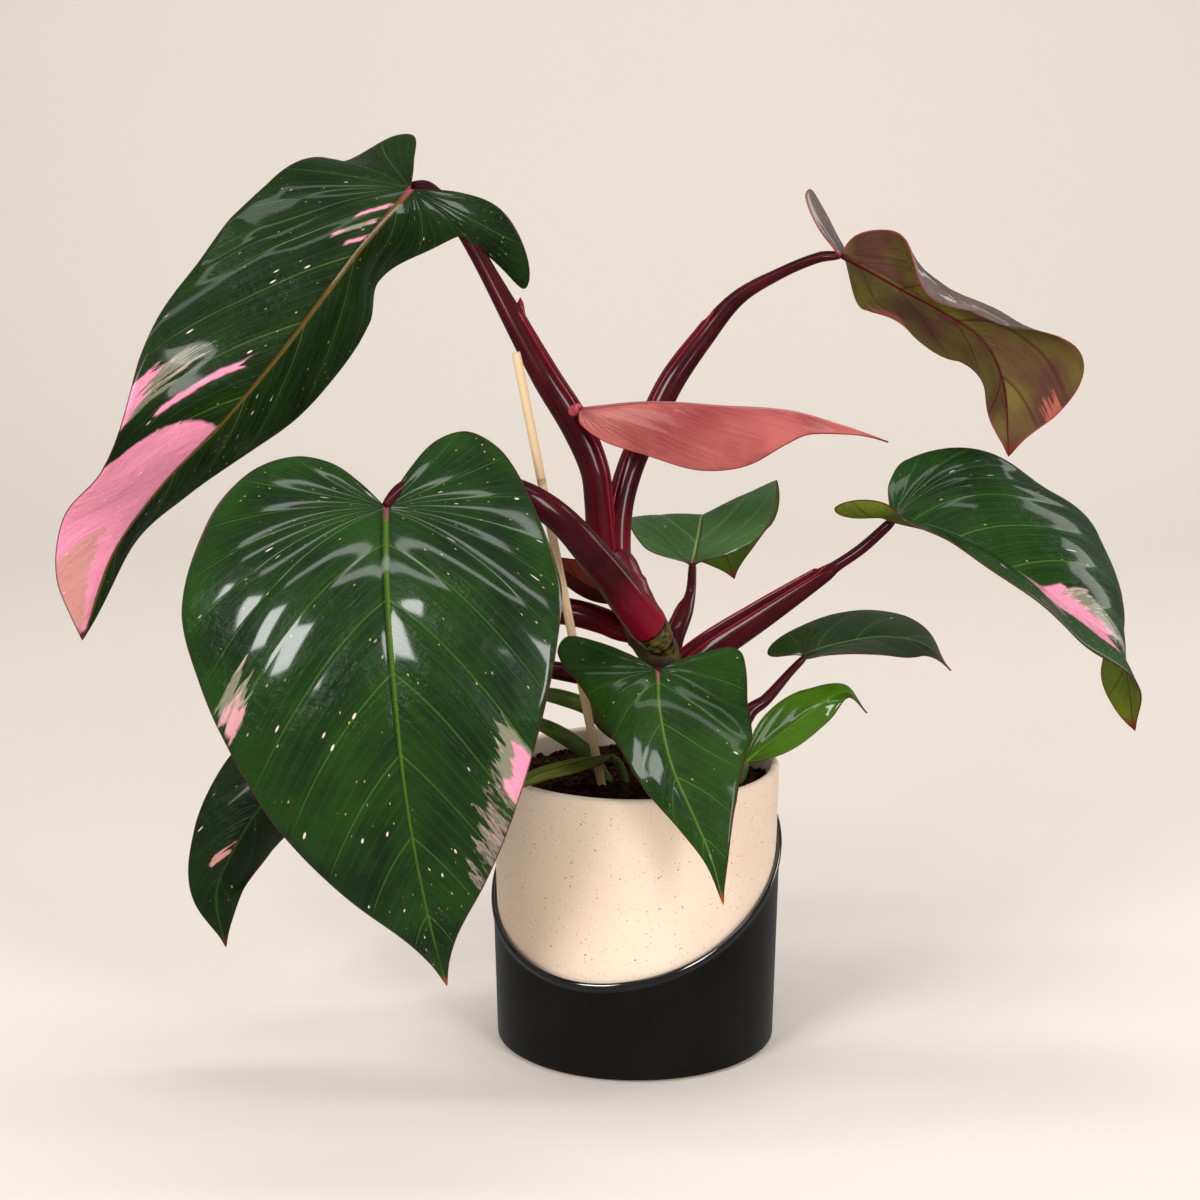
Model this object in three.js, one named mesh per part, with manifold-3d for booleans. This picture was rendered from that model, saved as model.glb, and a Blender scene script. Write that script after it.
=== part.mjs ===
// A pink princess philodendron growing in a stoneware pot with a slanted glossy dip.
// Units are millimetres, +Z is up, and the origin is the centre of the pot's base.
// Leaves face -Y, the side from which the plant shows most of them.
import * as THREE from 'three';
import { mergeVertices } from 'three/addons/utils/BufferGeometryUtils.js';
import Module from 'manifold-3d';

const wasm = await Module();
wasm.setup();

// ---- driving dimensions
const RIM_RADIUS = 65;
const BASE_RADIUS = 62;
const POT_HEIGHT = 130;
const POT_WALL = 4;
const POT_FLOOR = 6;
const FOOT_CHAMFER = 2;
const POT_SEGMENTS = 44;
const GAP = 0.3;
const DIP_THICKNESS = 1.4;
const DIP_LOW = 1;
const DIP_TOP = 122;
const DIP_CENTRE_HEIGHT = 82;
const DIP_SLOPE_X = 0.2;
const DIP_SLOPE_Y = 0.52;
const SOIL_LEVEL = 121;
const SOIL_CRUMB = 1.6;
const SOIL_RINGS = 7;
const SOIL_SEGMENTS = 40;
const BLADE_THICKNESS = 0.8;
const BLADE_WAVES = 4;
const JOINT_CLEARANCE = 0.75;
const STALK_SIDES = 8;
const STAKE_RADIUS = 2;
const STAKE_DEPTH = 75;
const SEED = 20;

const COLOURS = {
  stoneware: 0xe3cdae,
  dip: 0x0c0f10,
  soil: 0x2a1a14,
  bamboo: 0xcfa878,
  stem: 0x55141f,
  green: 0x1f3d23,
  fresh: 0x3c6a20,
  pink: 0xc9666a,
  bronze: 0x5d4a2c,
  sheath: 0x6b3a28,
};

// ---- small helpers
const radians = THREE.MathUtils.degToRad;
const clamp = THREE.MathUtils.clamp;

function seededRandom(seed) {
  let state = seed;
  return () => {
    state = (state * 1664525 + 1013904223) % 4294967296;
    return state / 4294967296;
  };
}

function solidFrom(geometry) {
  const bare = geometry.clone();
  bare.deleteAttribute('normal');
  bare.deleteAttribute('uv');
  const merged = mergeVertices(bare, 1e-4);
  return new wasm.Manifold(new wasm.Mesh({
    numProp: 3,
    vertProperties: new Float32Array(merged.attributes.position.array),
    triVerts: new Uint32Array(merged.index.array),
  }));
}

function geometryFrom(solid) {
  const mesh = solid.getMesh();
  const geometry = new THREE.BufferGeometry();
  geometry.setAttribute('position', new THREE.BufferAttribute(new Float32Array(mesh.vertProperties), 3));
  geometry.setIndex(new THREE.BufferAttribute(new Uint32Array(mesh.triVerts), 1));
  geometry.computeVertexNormals();
  return geometry;
}

function largestBody(solid) {
  const bodies = solid.decompose();
  return bodies.reduce((best, body) => (body.volume() > best.volume() ? body : best));
}

function cutClear(solid, others) {
  return largestBody(others.reduce((rest, other) => rest.subtract(other), solid));
}

// Values that run smoothly through rows of numbers placed at the given knots,
// and on in a straight line before the first knot and after the last.
function track(knots, rows, at) {
  const last = knots.length - 1;
  const slope = (i, c) => {
    const low = Math.max(i - 1, 0);
    const high = Math.min(i + 1, last);
    return (rows[high][c] - rows[low][c]) / (knots[high] - knots[low]);
  };
  if (at < knots[0]) return rows[0].map((v, c) => v + (at - knots[0]) * slope(0, c));
  if (at > knots[last]) return rows[last].map((v, c) => v + (at - knots[last]) * slope(last, c));
  let i = 0;
  while (i < last - 1 && at >= knots[i + 1]) i += 1;
  const span = knots[i + 1] - knots[i];
  const x = (at - knots[i]) / span;
  const x2 = x * x;
  const x3 = x2 * x;
  return rows[i].map((v, c) => (2 * x3 - 3 * x2 + 1) * v
    + (x3 - 2 * x2 + x) * span * slope(i, c)
    + (3 * x2 - 2 * x3) * rows[i + 1][c]
    + (x3 - x2) * span * slope(i + 1, c));
}

function knotsAlong(points) {
  const knots = [0];
  for (let i = 1; i < points.length; i += 1) {
    const step = Math.hypot(...points[i].map((v, c) => v - points[i - 1][c]));
    knots.push(knots[i - 1] + step);
  }
  return knots;
}

function surface(positions, triangles) {
  const geometry = new THREE.BufferGeometry();
  geometry.setAttribute('position', new THREE.BufferAttribute(new Float32Array(positions.flat()), 3));
  geometry.setIndex(triangles.flat());
  geometry.computeVertexNormals();
  return geometry;
}

// ---- leaf blades
// An outline is half a leaf laid flat: [along, out] points from the joint round to the tip.
// Along is a share of the lobe's length behind the joint (negative) or of the midrib's
// length, and out is a share of the half's width.
const HEART = [[0, 0], [-0.45, 0.12], [-0.85, 0.27], [-1, 0.46], [-0.75, 0.68], [0, 0.87], [0.17, 1],
  [0.32, 0.93], [0.48, 0.77], [0.63, 0.58], [0.76, 0.37], [0.87, 0.15], [0.94, 0.05], [1, 0]];
const BROAD = [[0, 0], [-0.5, 0.2], [-1, 0.45], [-0.6, 0.66], [0.06, 0.84], [0.25, 0.97], [0.4, 1],
  [0.55, 0.9], [0.7, 0.68], [0.82, 0.42], [0.92, 0.15], [0.96, 0.06], [1, 0]];
const FULL = [[0, 0], [-0.5, 0.2], [-1, 0.45], [-0.75, 0.74], [0, 0.98], [0.18, 1.07], [0.35, 1.04],
  [0.52, 0.9], [0.68, 0.68], [0.8, 0.52], [0.9, 0.36], [0.96, 0.16], [1, 0]];
const FLARE = [[0, 0], [-0.7, 0.25], [-1.2, 0.55], [-1.2, 0.85], [-0.85, 1.12], [-0.55, 0.9], [-0.3, 0.62],
  [-0.05, 0.45], [0.12, 0.43], [0.3, 0.5], [0.42, 0.46], [0.55, 0.31], [0.7, 0.22], [0.85, 0.12], [0.95, 0.04],
  [1, 0]];
const PINCH = [[0, 0], [0, 0.15], [0.02, 0.3], [0.08, 0.5], [0.17, 0.7], [0.28, 0.72], [0.42, 0.66],
  [0.56, 0.7], [0.68, 0.93], [0.76, 1], [0.85, 0.66], [0.93, 0.25], [1, 0]];
const KEEL = [[0, 0], [-0.6, 0.2], [-1, 0.5], [-0.8, 0.62], [-0.4, 0.52], [0, 0.45], [0.08, 0.64], [0.2, 0.93],
  [0.32, 1], [0.5, 0.84], [0.65, 0.6], [0.8, 0.34], [0.92, 0.12], [0.96, 0.05], [1, 0]];
const LATE = [[0, 0], [-0.6, 0.15], [-0.8, 0.3], [0, 0.55], [0.15, 0.8], [0.3, 0.95], [0.45, 1],
  [0.6, 0.97], [0.75, 0.84], [0.87, 0.55], [0.95, 0.2], [1, 0]];
const ARROW = [[0, 0], [-0.4, 0.25], [-0.8, 0.6], [-1, 0.88], [-0.7, 1], [0.02, 0.84], [0.14, 0.68],
  [0.3, 0.48], [0.5, 0.32], [0.7, 0.16], [0.85, 0.06], [1, 0]];
const KITE = [[0, 0], [-0.4, 0.25], [-0.8, 0.6], [-1, 0.88], [-0.7, 1], [0.1, 1], [0.25, 1], [0.38, 0.95],
  [0.5, 0.78], [0.65, 0.47], [0.8, 0.2], [0.92, 0.06], [1, 0]];
const SPEAR = [[0, 0], [0, 0.25], [0.1, 0.62], [0.3, 0.92], [0.42, 1], [0.55, 0.88], [0.68, 0.5],
  [0.75, 0.28], [0.88, 0.1], [1, 0]];
const LANCE = [[0, 0], [0, 0.1], [0.1, 0.5], [0.25, 0.88], [0.42, 1], [0.6, 0.86], [0.75, 0.56],
  [0.88, 0.22], [0.95, 0.08], [1, 0]];

// A leaf's midrib is a row of stations: [x, y, z, roll, fold of the left half, fold of the
// right half, curl of the left half, curl of the right half], angles in degrees. The first
// station lies behind the joint, the second is the joint and the last is the tip. Across is
// the compass angle of the right half, and a positive fold or curl lifts a half's edge
// towards the upper face.
const LEAVES = {
  front: {
    across: 0, widths: [88, 72], lobes: [24, 40], outlines: [HEART, HEART], wave: 1.5, cells: [24, 5], colour: 'green',
    midrib: [[-104, -45, 290, 0, 10, 5, -35, -30], [-104, -75, 259, 0, 12, 8, -40, -30],
      [-101, -104, 226, 0, 12, 8, -40, -30], [-97, -118, 184, 0, 10, 8, -35, -25],
      [-93, -118, 142, 0, 8, 8, -25, -20], [-87, -108, 97, 0, 0, 0, -10, -10], [-80, -92, 56, 0, 0, 0, 0, 0]],
  },
  upper_left: {
    across: 0, widths: [51, 66], lobes: [33, 24], outlines: [FULL, FLARE], wave: 1.5, cells: [26, 5], colour: 'green',
    midrib: [[-83, 25, 402, 0, -5, -10, -20, -60], [-99, 5, 386, 0, -5, -20, -20, -90],
      [-119, -8, 362, 0, 0, -70, -15, -30], [-133, -15, 344, 0, 5, -50, -20, -20],
      [-154, -20, 317, 0, 10, -45, -25, -10], [-180, -22, 287, 0, 32, -40, -20, 0],
      [-208, -20, 259, 0, 46, -40, 0, 0], [-232, -12, 227, 0, 10, -50, 0, 0], [-250, 0, 185, 0, 0, 0, 0, 0]],
  },
  upper_right: {
    across: 180, widths: [37, 42], lobes: [4, 22], outlines: [PINCH, KEEL], wave: 1, cells: [24, 8], colour: 'bronze',
    midrib: [[69, 10, 366, 0, 20, 95, 0, 0], [91, 25, 356, 0, 45, 50, -20, -10],
      [119, 30, 340, 0, 60, 58, -280, -10], [137, 32, 330, 0, 60, 70, -370, -10],
      [156, 30, 317, 0, 40, 74, -240, -10], [165, 26, 298, 0, 5, 70, 0, 0], [167, 18, 267, 0, 0, 0, 0, 0]],
  },
  new_pink: {
    across: 90, widths: [29, 24], lobes: [2, 2], outlines: [SPEAR, SPEAR], wave: 0, cells: [16, 4], colour: 'pink',
    midrib: [[-34, -4, 290, 0, -60, -60, -20, -20], [-25, -7, 292, 0, -65, -75, -40, -40],
      [6, -16, 296, 0, -65, -75, -40, -40], [36, -22, 295, 0, -62, -75, -40, -40],
      [66, -24, 293, 0, -60, -75, -50, -40], [90, -22, 286, 0, -50, -60, -60, -40],
      [109, -20, 279, 0, 0, 0, 0, 0]],
  },
  right: {
    across: 90, widths: [38, 59], lobes: [28, 6], outlines: [BROAD, LATE], wave: 1, cells: [22, 5], colour: 'green',
    midrib: [[95, 0, 246, 0, -40, 50, 200, -20], [114, 0, 241, 0, 15, 60, 0, -25],
      [139, -5, 235, 0, 12, 62, -20, -30], [164, -8, 222, 0, 8, 54, -20, -30],
      [190, -10, 205, 0, 0, 48, -20, -30], [215, -12, 184, -15, -20, 35, -20, -20],
      [224, -8, 147, -45, 0, 0, 0, 0]],
  },
  back: {
    across: 180, widths: [40, 36], lobes: [3, 3], outlines: [BROAD, BROAD], wave: 0, cells: [16, 4], colour: 'green',
    midrib: [[25, 30, 210, 0, 0, 0, 0, 0], [26, 45, 212, 0, 26, 22, 0, 0], [29, 62, 222, 0, 26, 14, 0, -10],
      [32, 80, 229, 0, 25, 0, 0, -20], [40, 98, 216, 0, 0, 0, -20, -20], [48, 104, 193, 0, 0, 0, 0, 0]],
  },
  mid_right: {
    across: 90, widths: [22, 27], lobes: [3, 13], outlines: [BROAD, BROAD], wave: 0, cells: [16, 4], colour: 'green',
    midrib: [[66, 12, 170, 0, 0, 30, 0, 0], [77, 15, 176, 0, 5, 30, 0, -20], [93, 16, 181, 0, 0, 28, 0, -20],
      [113, 16, 184, 0, -10, 25, 0, -20], [131, 14, 181, 0, -20, 15, 0, 0], [143, 10, 170, 0, 0, 0, 0, 0]],
  },
  low_right: {
    across: 90, widths: [9, 14], lobes: [0.5, 0.5], outlines: [LANCE, LANCE], wave: 0, cells: [12, 3], colour: 'fresh',
    midrib: [[45, -8, 125, 50, 0, 0, 0, 0], [50, -6, 131, 50, -20, -5, 0, 0], [67, -2, 144, 50, -30, -5, 0, 0],
      [81, 1, 154, 45, -30, -5, 0, 0], [95, 4, 161, 20, 0, 0, 0, 0], [105, 6, 151, 0, 0, 0, 0, 0]],
  },
  low_front: {
    across: 0, widths: [41, 39], lobes: [26, 11], outlines: [ARROW, KITE], wave: 0, cells: [18, 4], colour: 'green',
    midrib: [[7, -42, 194, 0, 0, 0, -10, -10], [9, -54, 185, 0, 0, 0, -10, -20],
      [10, -69, 171, 0, -10, 0, -10, -20], [15, -83, 151, 0, -15, 0, -10, -20],
      [25, -92, 130, 0, -15, 0, -10, -15], [32, -96, 114, 0, -10, 0, -10, -10], [37, -96, 94, 0, 0, 0, 0, 0]],
  },
  lower_left: {
    across: 0, widths: [25, 30], lobes: [14, 14], outlines: [BROAD, BROAD], wave: 0, cells: [20, 4], colour: 'green',
    midrib: [[-115, -34, 166, 0, 0, 0, 0, 0], [-128, -31, 156, 0, 0, -20, -20, -20], [-146, -32, 141, 0, 0, -30, -20, -20],
      [-163, -34, 122, 0, -5, -40, -20, -20], [-178, -36, 99, 0, -5, -45, -20, -20],
      [-187, -36, 77, 0, -10, -40, -10, -10], [-184, -32, 51, 0, 0, 0, 0, 0]],
  },
  rim_left: {
    across: 90, widths: [9, 8], lobes: [0.5, 0.5], outlines: [LANCE, LANCE], wave: 0, cells: [12, 3], colour: 'fresh',
    midrib: [[-3, -8, 135, 0, 0, 0, 0, 0], [-11, -12, 135, 0, 0, 0, 0, 0], [-27, -30, 136, 0, 0, 0, 0, 0],
      [-44, -50, 136, 0, 0, 0, 0, 0], [-62, -76, 133, 0, 0, 0, 0, 0]],
  },
  dry_bract: {
    across: 0, widths: [9, 9], lobes: [1, 1], outlines: [LANCE, LANCE], wave: 0, cells: [10, 3], colour: 'sheath',
    midrib: [[-1, 2, 196, 0, 0, 0, 0, 0], [-8, 0, 203, 0, 20, 20, 20, 20], [-26, -2, 214, 0, 20, 20, 20, 20],
      [-41, -7, 227, 0, 0, 0, 0, 0]],
  },
};

const VEIN_LEAN = 0.35;
const VEIN_BOW = 0.55;
const TIP_SPACING = 1.15;

// The blade's middle surface as points[side][row][column]: rows follow the outline from the
// joint to the tip, and columns run out from the midrib along the side veins.
function bladeSheet(leaf) {
  const [rows, columns] = leaf.cells;
  const fanRows = Math.round(rows / 3);
  const places = leaf.midrib.map((s) => s.slice(0, 3));
  const angles = leaf.midrib.map((s) => s.slice(3));
  const raw = knotsAlong(places);
  const knots = raw.map((k) => k - raw[1]);
  const length = knots[knots.length - 1];
  const level = new THREE.Vector3(Math.cos(radians(leaf.across)), Math.sin(radians(leaf.across)), 0);

  function bend(along, out, side, turn) {
    const half = side < 0 ? 0 : 1;
    const width = leaf.widths[half];
    const spine = new THREE.Vector3(...track(knots, places, along));
    const ahead = new THREE.Vector3(...track(knots, places, along + 0.5));
    const behind = new THREE.Vector3(...track(knots, places, along - 0.5));
    const tangent = ahead.sub(behind).normalize();
    const right = level.clone().addScaledVector(tangent, -level.dot(tangent)).normalize();
    const upper = tangent.clone().cross(right);
    const values = track(knots, angles, along).map(radians);
    const roll = values[0];
    const fold = values[1 + half];
    const share = out / width;
    const bow = (values[3 + half] * share) / 2;
    const chord = Math.abs(bow) < 1e-6 ? 1 : Math.sin(bow) / bow;
    const sideways = out * Math.cos(fold + bow) * chord;
    const ripple = leaf.wave * share * share * Math.sin(2 * Math.PI * BLADE_WAVES * turn + side);
    const lift = out * Math.sin(fold + bow) * chord + ripple;
    const rolledRight = right.clone().multiplyScalar(Math.cos(roll)).addScaledVector(upper, Math.sin(roll));
    const rolledUpper = upper.clone().multiplyScalar(Math.cos(roll)).addScaledVector(right, -Math.sin(roll));
    return spine.addScaledVector(rolledRight, side * sideways).addScaledVector(rolledUpper, lift);
  }

  return [-1, 1].map((side) => {
    const half = side < 0 ? 0 : 1;
    const outline = leaf.outlines[half].map(([along, out]) => [
      along * (along < 0 ? leaf.lobes[half] : length), out * leaf.widths[half]]);
    const turns = knotsAlong(outline);
    const whole = turns[turns.length - 1];
    const points = [];
    for (let i = 0; i <= rows; i += 1) {
      const turn = i / rows;
      const [edgeAlong, edgeOut] = track(turns, outline, turn * whole);
      const root = clamp((i - fanRows) / (rows - fanRows), 0, 1) ** TIP_SPACING * length;
      const row = [];
      for (let j = 0; j <= columns; j += 1) {
        const r = j / columns;
        const pull = 2 * r * (1 - r);
        const along = (1 - r) ** 2 * root + pull * (root + VEIN_LEAN * (edgeAlong - root)) + r * r * edgeAlong;
        const out = pull * VEIN_BOW * edgeOut + r * r * edgeOut;
        row.push(bend(along, out, side, turn));
      }
      points.push(row);
    }
    return points;
  });
}

// The sheet's points and triangles, with the midrib shared by both halves, the first rows
// fanned from the joint and the last row closed at the tip.
function bladeNet(leaf) {
  const [rows, columns] = leaf.cells;
  const sheet = bladeSheet(leaf);
  const fanRows = Math.round(rows / 3);
  const points = [];
  const index = new Map();
  const at = (half, i, j) => {
    const isMidrib = j === 0 || i === 0 || i === rows;
    const row = i <= fanRows && (j === 0 || i === 0) ? 0 : i;
    const key = isMidrib ? `m${row}` : `${half},${i},${j}`;
    if (!index.has(key)) {
      index.set(key, points.length);
      points.push(isMidrib ? sheet[1][row][0] : sheet[half][i][j]);
    }
    return index.get(key);
  };
  const triangles = [];
  [0, 1].forEach((half) => {
    for (let i = 0; i < rows; i += 1) {
      for (let j = 0; j < columns; j += 1) {
        const a = at(half, i, j);
        const b = at(half, i + 1, j);
        const c = at(half, i + 1, j + 1);
        const d = at(half, i, j + 1);
        [[a, b, c], [a, c, d]].forEach((t) => {
          const isFlat = t[0] === t[1] || t[1] === t[2] || t[0] === t[2];
          if (!isFlat) triangles.push(half === 0 ? [t[0], t[2], t[1]] : t);
        });
      }
    }
  });
  return { points, triangles };
}

function bladeGeometry(leaf, thickness) {
  const { points, triangles } = bladeNet(leaf);
  const normals = points.map(() => new THREE.Vector3());
  triangles.forEach(([a, b, c]) => {
    const face = points[b].clone().sub(points[a]).cross(points[c].clone().sub(points[a]));
    [a, b, c].forEach((v) => normals[v].add(face));
  });
  const count = points.length;
  const shifted = (amount) => points.map((p, i) => p.clone()
    .addScaledVector(normals[i].clone().normalize(), amount).toArray());
  const faces = [];
  const edges = new Map();
  triangles.forEach(([a, b, c]) => {
    faces.push([a, b, c], [c + count, b + count, a + count]);
    [[a, b], [b, c], [c, a]].forEach(([p, q]) => {
      if (edges.has(`${q},${p}`)) edges.delete(`${q},${p}`);
      else edges.set(`${p},${q}`, [p, q]);
    });
  });
  edges.forEach(([p, q]) => faces.push([q, p, p + count], [q, p + count, q + count]));
  return surface([...shifted(thickness / 2), ...shifted(-thickness / 2)], faces);
}

// ---- stems and petioles
// A stalk is a row of [x, y, z, radius] from its root to its end. A sheath's two wings run
// along the stalk's upper side and stop at a notch, given as a share of its length.
const STALKS = {
  main_stem: {
    rows: [[7, 4, 60, 8], [7, 4, 110, 10.5], [10, 3, 143, 10], [12, 1, 173, 9], [5, 0, 190, 9.5], [-4, 2, 208, 9.5],
      [-11, 4, 225, 8.5]],
    steps: 14, colour: 'stem',
  },
  front_petiole: {
    rows: [[13, -2, 181, 8], [7, -12, 193, 8.5], [-2, -22, 207, 8.5], [-16, -34, 228, 7.5], [-31, -46, 248, 6.5],
      [-45, -50, 259, 6], [-64, -50, 266, 5.4], [-83, -56, 269, 4.8], [-97, -66, 268, 4.4], [-104, -75, 261, 3.8]],
    steps: 14, colour: 'stem',
  },
  upper_left_petiole: {
    rows: [[-15, 3, 224, 6.6], [-17, 2, 247, 6.2], [-19, 2, 263, 6.2], [-27, 3, 282, 6.6], [-40, 5, 303, 6.2],
      [-52, 9, 324, 5.2], [-69, 16, 355, 4.2], [-81, 19, 374, 3.8], [-91, 17, 385, 3.6], [-98, 9, 387, 3.2]],
    steps: 16, colour: 'stem', notch: 0.62, wing: 3, upper: [1, -0.2, 0.6],
  },
  upper_right_petiole: {
    rows: [[-8, 8, 226, 5.5], [-7, 12, 245, 5.6], [-2, 17, 263, 5.6], [6, 21, 280, 5.6], [16, 24, 300, 5.6],
      [29, 27, 318, 4.8], [45, 29, 337, 3.8], [64, 30, 348, 2.8], [81, 29, 355, 2.5], [90, 26, 356, 2.3]],
    steps: 16, colour: 'stem', notch: 0.66, wing: 2.5, upper: [-1, -0.3, 0.6],
  },
  right_petiole: {
    rows: [[12, 10, 160, 7], [30, 8, 177, 7.4], [58, 6, 197, 6], [85, 4, 216, 3.6], [89, 4, 219, 2.7],
      [101, 3, 228, 2.6], [114, 0, 241, 2.4]],
    steps: 12, colour: 'stem', notch: 0.72, wing: 3, upper: [-0.6, -0.4, 1],
  },
  back_petiole: {
    rows: [[15, 16, 168, 4.5], [17, 22, 181, 4.8], [22, 32, 192, 4.2], [25, 39, 200, 2.6], [26, 45, 212, 2]],
    steps: 8, colour: 'stem', notch: 0.6, wing: 1.5, upper: [-1, -0.3, 0.3],
  },
  mid_right_petiole: {
    rows: [[40, 2, 100, 3], [42, 2, 123, 3], [47, 5, 141, 3.6], [52, 8, 151, 3.4], [59, 10, 156, 2.8],
      [70, 13, 168, 2], [77, 15, 175, 1.7]],
    steps: 9, colour: 'stem', notch: 0.6, wing: 1.2, upper: [-0.6, -0.4, 1],
  },
  low_right_petiole: {
    rows: [[42, -6, 100, 2.2], [45, -6, 118, 2.2], [48, -6, 125, 2.2], [50, -6, 131, 1.6]], steps: 6, colour: 'fresh',
  },
  low_front_petiole: {
    rows: [[14, -18, 95, 3], [14, -22, 121, 3], [14, -30, 148, 3], [12, -43, 172, 2.6], [9, -54, 185, 2.2]],
    steps: 8, colour: 'stem',
  },
  lower_left_petiole: {
    rows: [[-8, 6, 190, 5.6], [-14, 6, 193, 6], [-28, 2, 198, 6.2], [-41, -2, 200, 6.2], [-61, -12, 198, 5.4],
      [-91, -22, 185, 4.2], [-113, -28, 169, 3.4], [-127, -31, 156, 2.8]],
    steps: 12, colour: 'stem',
  },
  old_petiole: {
    rows: [[5, 4, 162, 4], [-16, 2, 167, 4.2], [-32, 0, 171, 4.2], [-48, -3, 174, 3.6], [-59, -6, 174, 3]],
    steps: 7, colour: 'stem',
  },
  rim_left_petiole: {
    rows: [[-3, -3, 100, 2], [-4, -3, 118, 2], [-7, -7, 129, 2], [-11, -12, 135, 1.4]], steps: 6, colour: 'fresh',
  },
  old_sheath_upper: {
    rows: [[2, 4, 136, 3], [-11, 2, 143, 3.2], [-21, 0, 154, 3.6], [-34, -3, 160, 3.6], [-48, -8, 164, 2.4]],
    steps: 7, colour: 'fresh',
  },
  old_sheath_lower: {
    rows: [[-6, 2, 110, 3], [-14, -2, 122, 3], [-23, -4, 135, 3.6], [-36, -7, 145, 3.6], [-50, -12, 153, 2.2]],
    steps: 7, colour: 'fresh',
  },
  new_pink_petiole: {
    rows: [[-33, 4, 286, 2.8], [-29, 0, 289, 2.8], [-25, -6, 292, 2]], steps: 4, colour: 'pink',
  },
};

function stalkGeometry(stalk, grow) {
  const places = stalk.rows.map((row) => row.slice(0, 3));
  const knots = knotsAlong(places);
  const length = knots[knots.length - 1];
  const upper = new THREE.Vector3(...(stalk.upper ?? [0, -1, 0.35]));
  const wingSides = [STALK_SIDES - 1, 1];
  const points = [];
  for (let i = 0; i <= stalk.steps; i += 1) {
    const along = (i / stalk.steps) * length;
    const [x, y, z, radius] = track(knots, stalk.rows, along);
    const ahead = track(knots, places, along + 0.5);
    const behind = track(knots, places, along - 0.5);
    const tangent = new THREE.Vector3(...ahead).sub(new THREE.Vector3(...behind)).normalize();
    const top = upper.clone().addScaledVector(tangent, -upper.dot(tangent)).normalize();
    const beside = tangent.clone().cross(top);
    const isSheathed = stalk.notch !== undefined && along / length < stalk.notch;
    for (let k = 0; k < STALK_SIDES; k += 1) {
      const angle = (2 * Math.PI * k) / STALK_SIDES;
      const wing = isSheathed && wingSides.includes(k) ? stalk.wing : 0;
      const reach = radius + grow + wing;
      const point = new THREE.Vector3(x, y, z)
        .addScaledVector(top, reach * Math.cos(angle)).addScaledVector(beside, reach * Math.sin(angle));
      points.push(point.toArray());
    }
  }
  const triangles = [];
  const ring = (i, k) => i * STALK_SIDES + (k % STALK_SIDES);
  for (let i = 0; i < stalk.steps; i += 1) {
    for (let k = 0; k < STALK_SIDES; k += 1) {
      triangles.push([ring(i, k), ring(i, k + 1), ring(i + 1, k + 1)], [ring(i, k), ring(i + 1, k + 1), ring(i + 1, k)]);
    }
  }
  [0, stalk.steps].forEach((i) => {
    for (let k = 1; k < STALK_SIDES - 1; k += 1) {
      const cap = [ring(i, 0), ring(i, k), ring(i, k + 1)];
      triangles.push(i === 0 ? cap.reverse() : cap);
    }
  });
  return surface(points, triangles);
}

// ---- pot, dip, soil and stake
function lathe(profile) {
  const geometry = new THREE.LatheGeometry(profile.map(([r, z]) => new THREE.Vector2(r, z)), POT_SEGMENTS);
  return geometry.rotateX(Math.PI / 2);
}

function potSolid() {
  const lip = POT_WALL / 2;
  const lipCentre = RIM_RADIUS - lip;
  const profile = [[0, 0], [BASE_RADIUS - FOOT_CHAMFER, 0], [BASE_RADIUS, FOOT_CHAMFER], [RIM_RADIUS, POT_HEIGHT - lip]];
  for (let i = 1; i < 4; i += 1) {
    const angle = (Math.PI * i) / 4;
    profile.push([lipCentre + lip * Math.cos(angle), POT_HEIGHT - lip + lip * Math.sin(angle)]);
  }
  profile.push([RIM_RADIUS - POT_WALL, POT_HEIGHT - lip], [BASE_RADIUS - POT_WALL, POT_FLOOR + FOOT_CHAMFER]);
  profile.push([BASE_RADIUS - POT_WALL - FOOT_CHAMFER, POT_FLOOR], [0, POT_FLOOR]);
  return solidFrom(lathe(profile));
}

function wallRadius(z) {
  return BASE_RADIUS + ((RIM_RADIUS - BASE_RADIUS) * (z - FOOT_CHAMFER)) / (POT_HEIGHT - FOOT_CHAMFER);
}

// A skin round the lower wall, cut off by the slanted plane of the dip.
function dipSolid() {
  const inner = (z) => wallRadius(z) + GAP;
  const outer = (z) => inner(z) + DIP_THICKNESS;
  const profile = [[inner(DIP_LOW + 1), DIP_LOW + 1], [outer(DIP_LOW) - 1, DIP_LOW], [outer(DIP_LOW + 1), DIP_LOW + 1],
    [outer(DIP_TOP), DIP_TOP], [inner(DIP_TOP), DIP_TOP], [inner(DIP_LOW + 1), DIP_LOW + 1]];
  const cutter = new THREE.BoxGeometry(4 * RIM_RADIUS, 4 * RIM_RADIUS, POT_HEIGHT);
  cutter.translate(0, 0, POT_HEIGHT / 2);
  const normal = new THREE.Vector3(-DIP_SLOPE_X, -DIP_SLOPE_Y, 1).normalize();
  const turn = new THREE.Quaternion().setFromUnitVectors(new THREE.Vector3(0, 0, 1), normal);
  cutter.applyQuaternion(turn);
  cutter.translate(0, 0, DIP_CENTRE_HEIGHT);
  return largestBody(solidFrom(lathe(profile)).subtract(solidFrom(cutter)));
}

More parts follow.
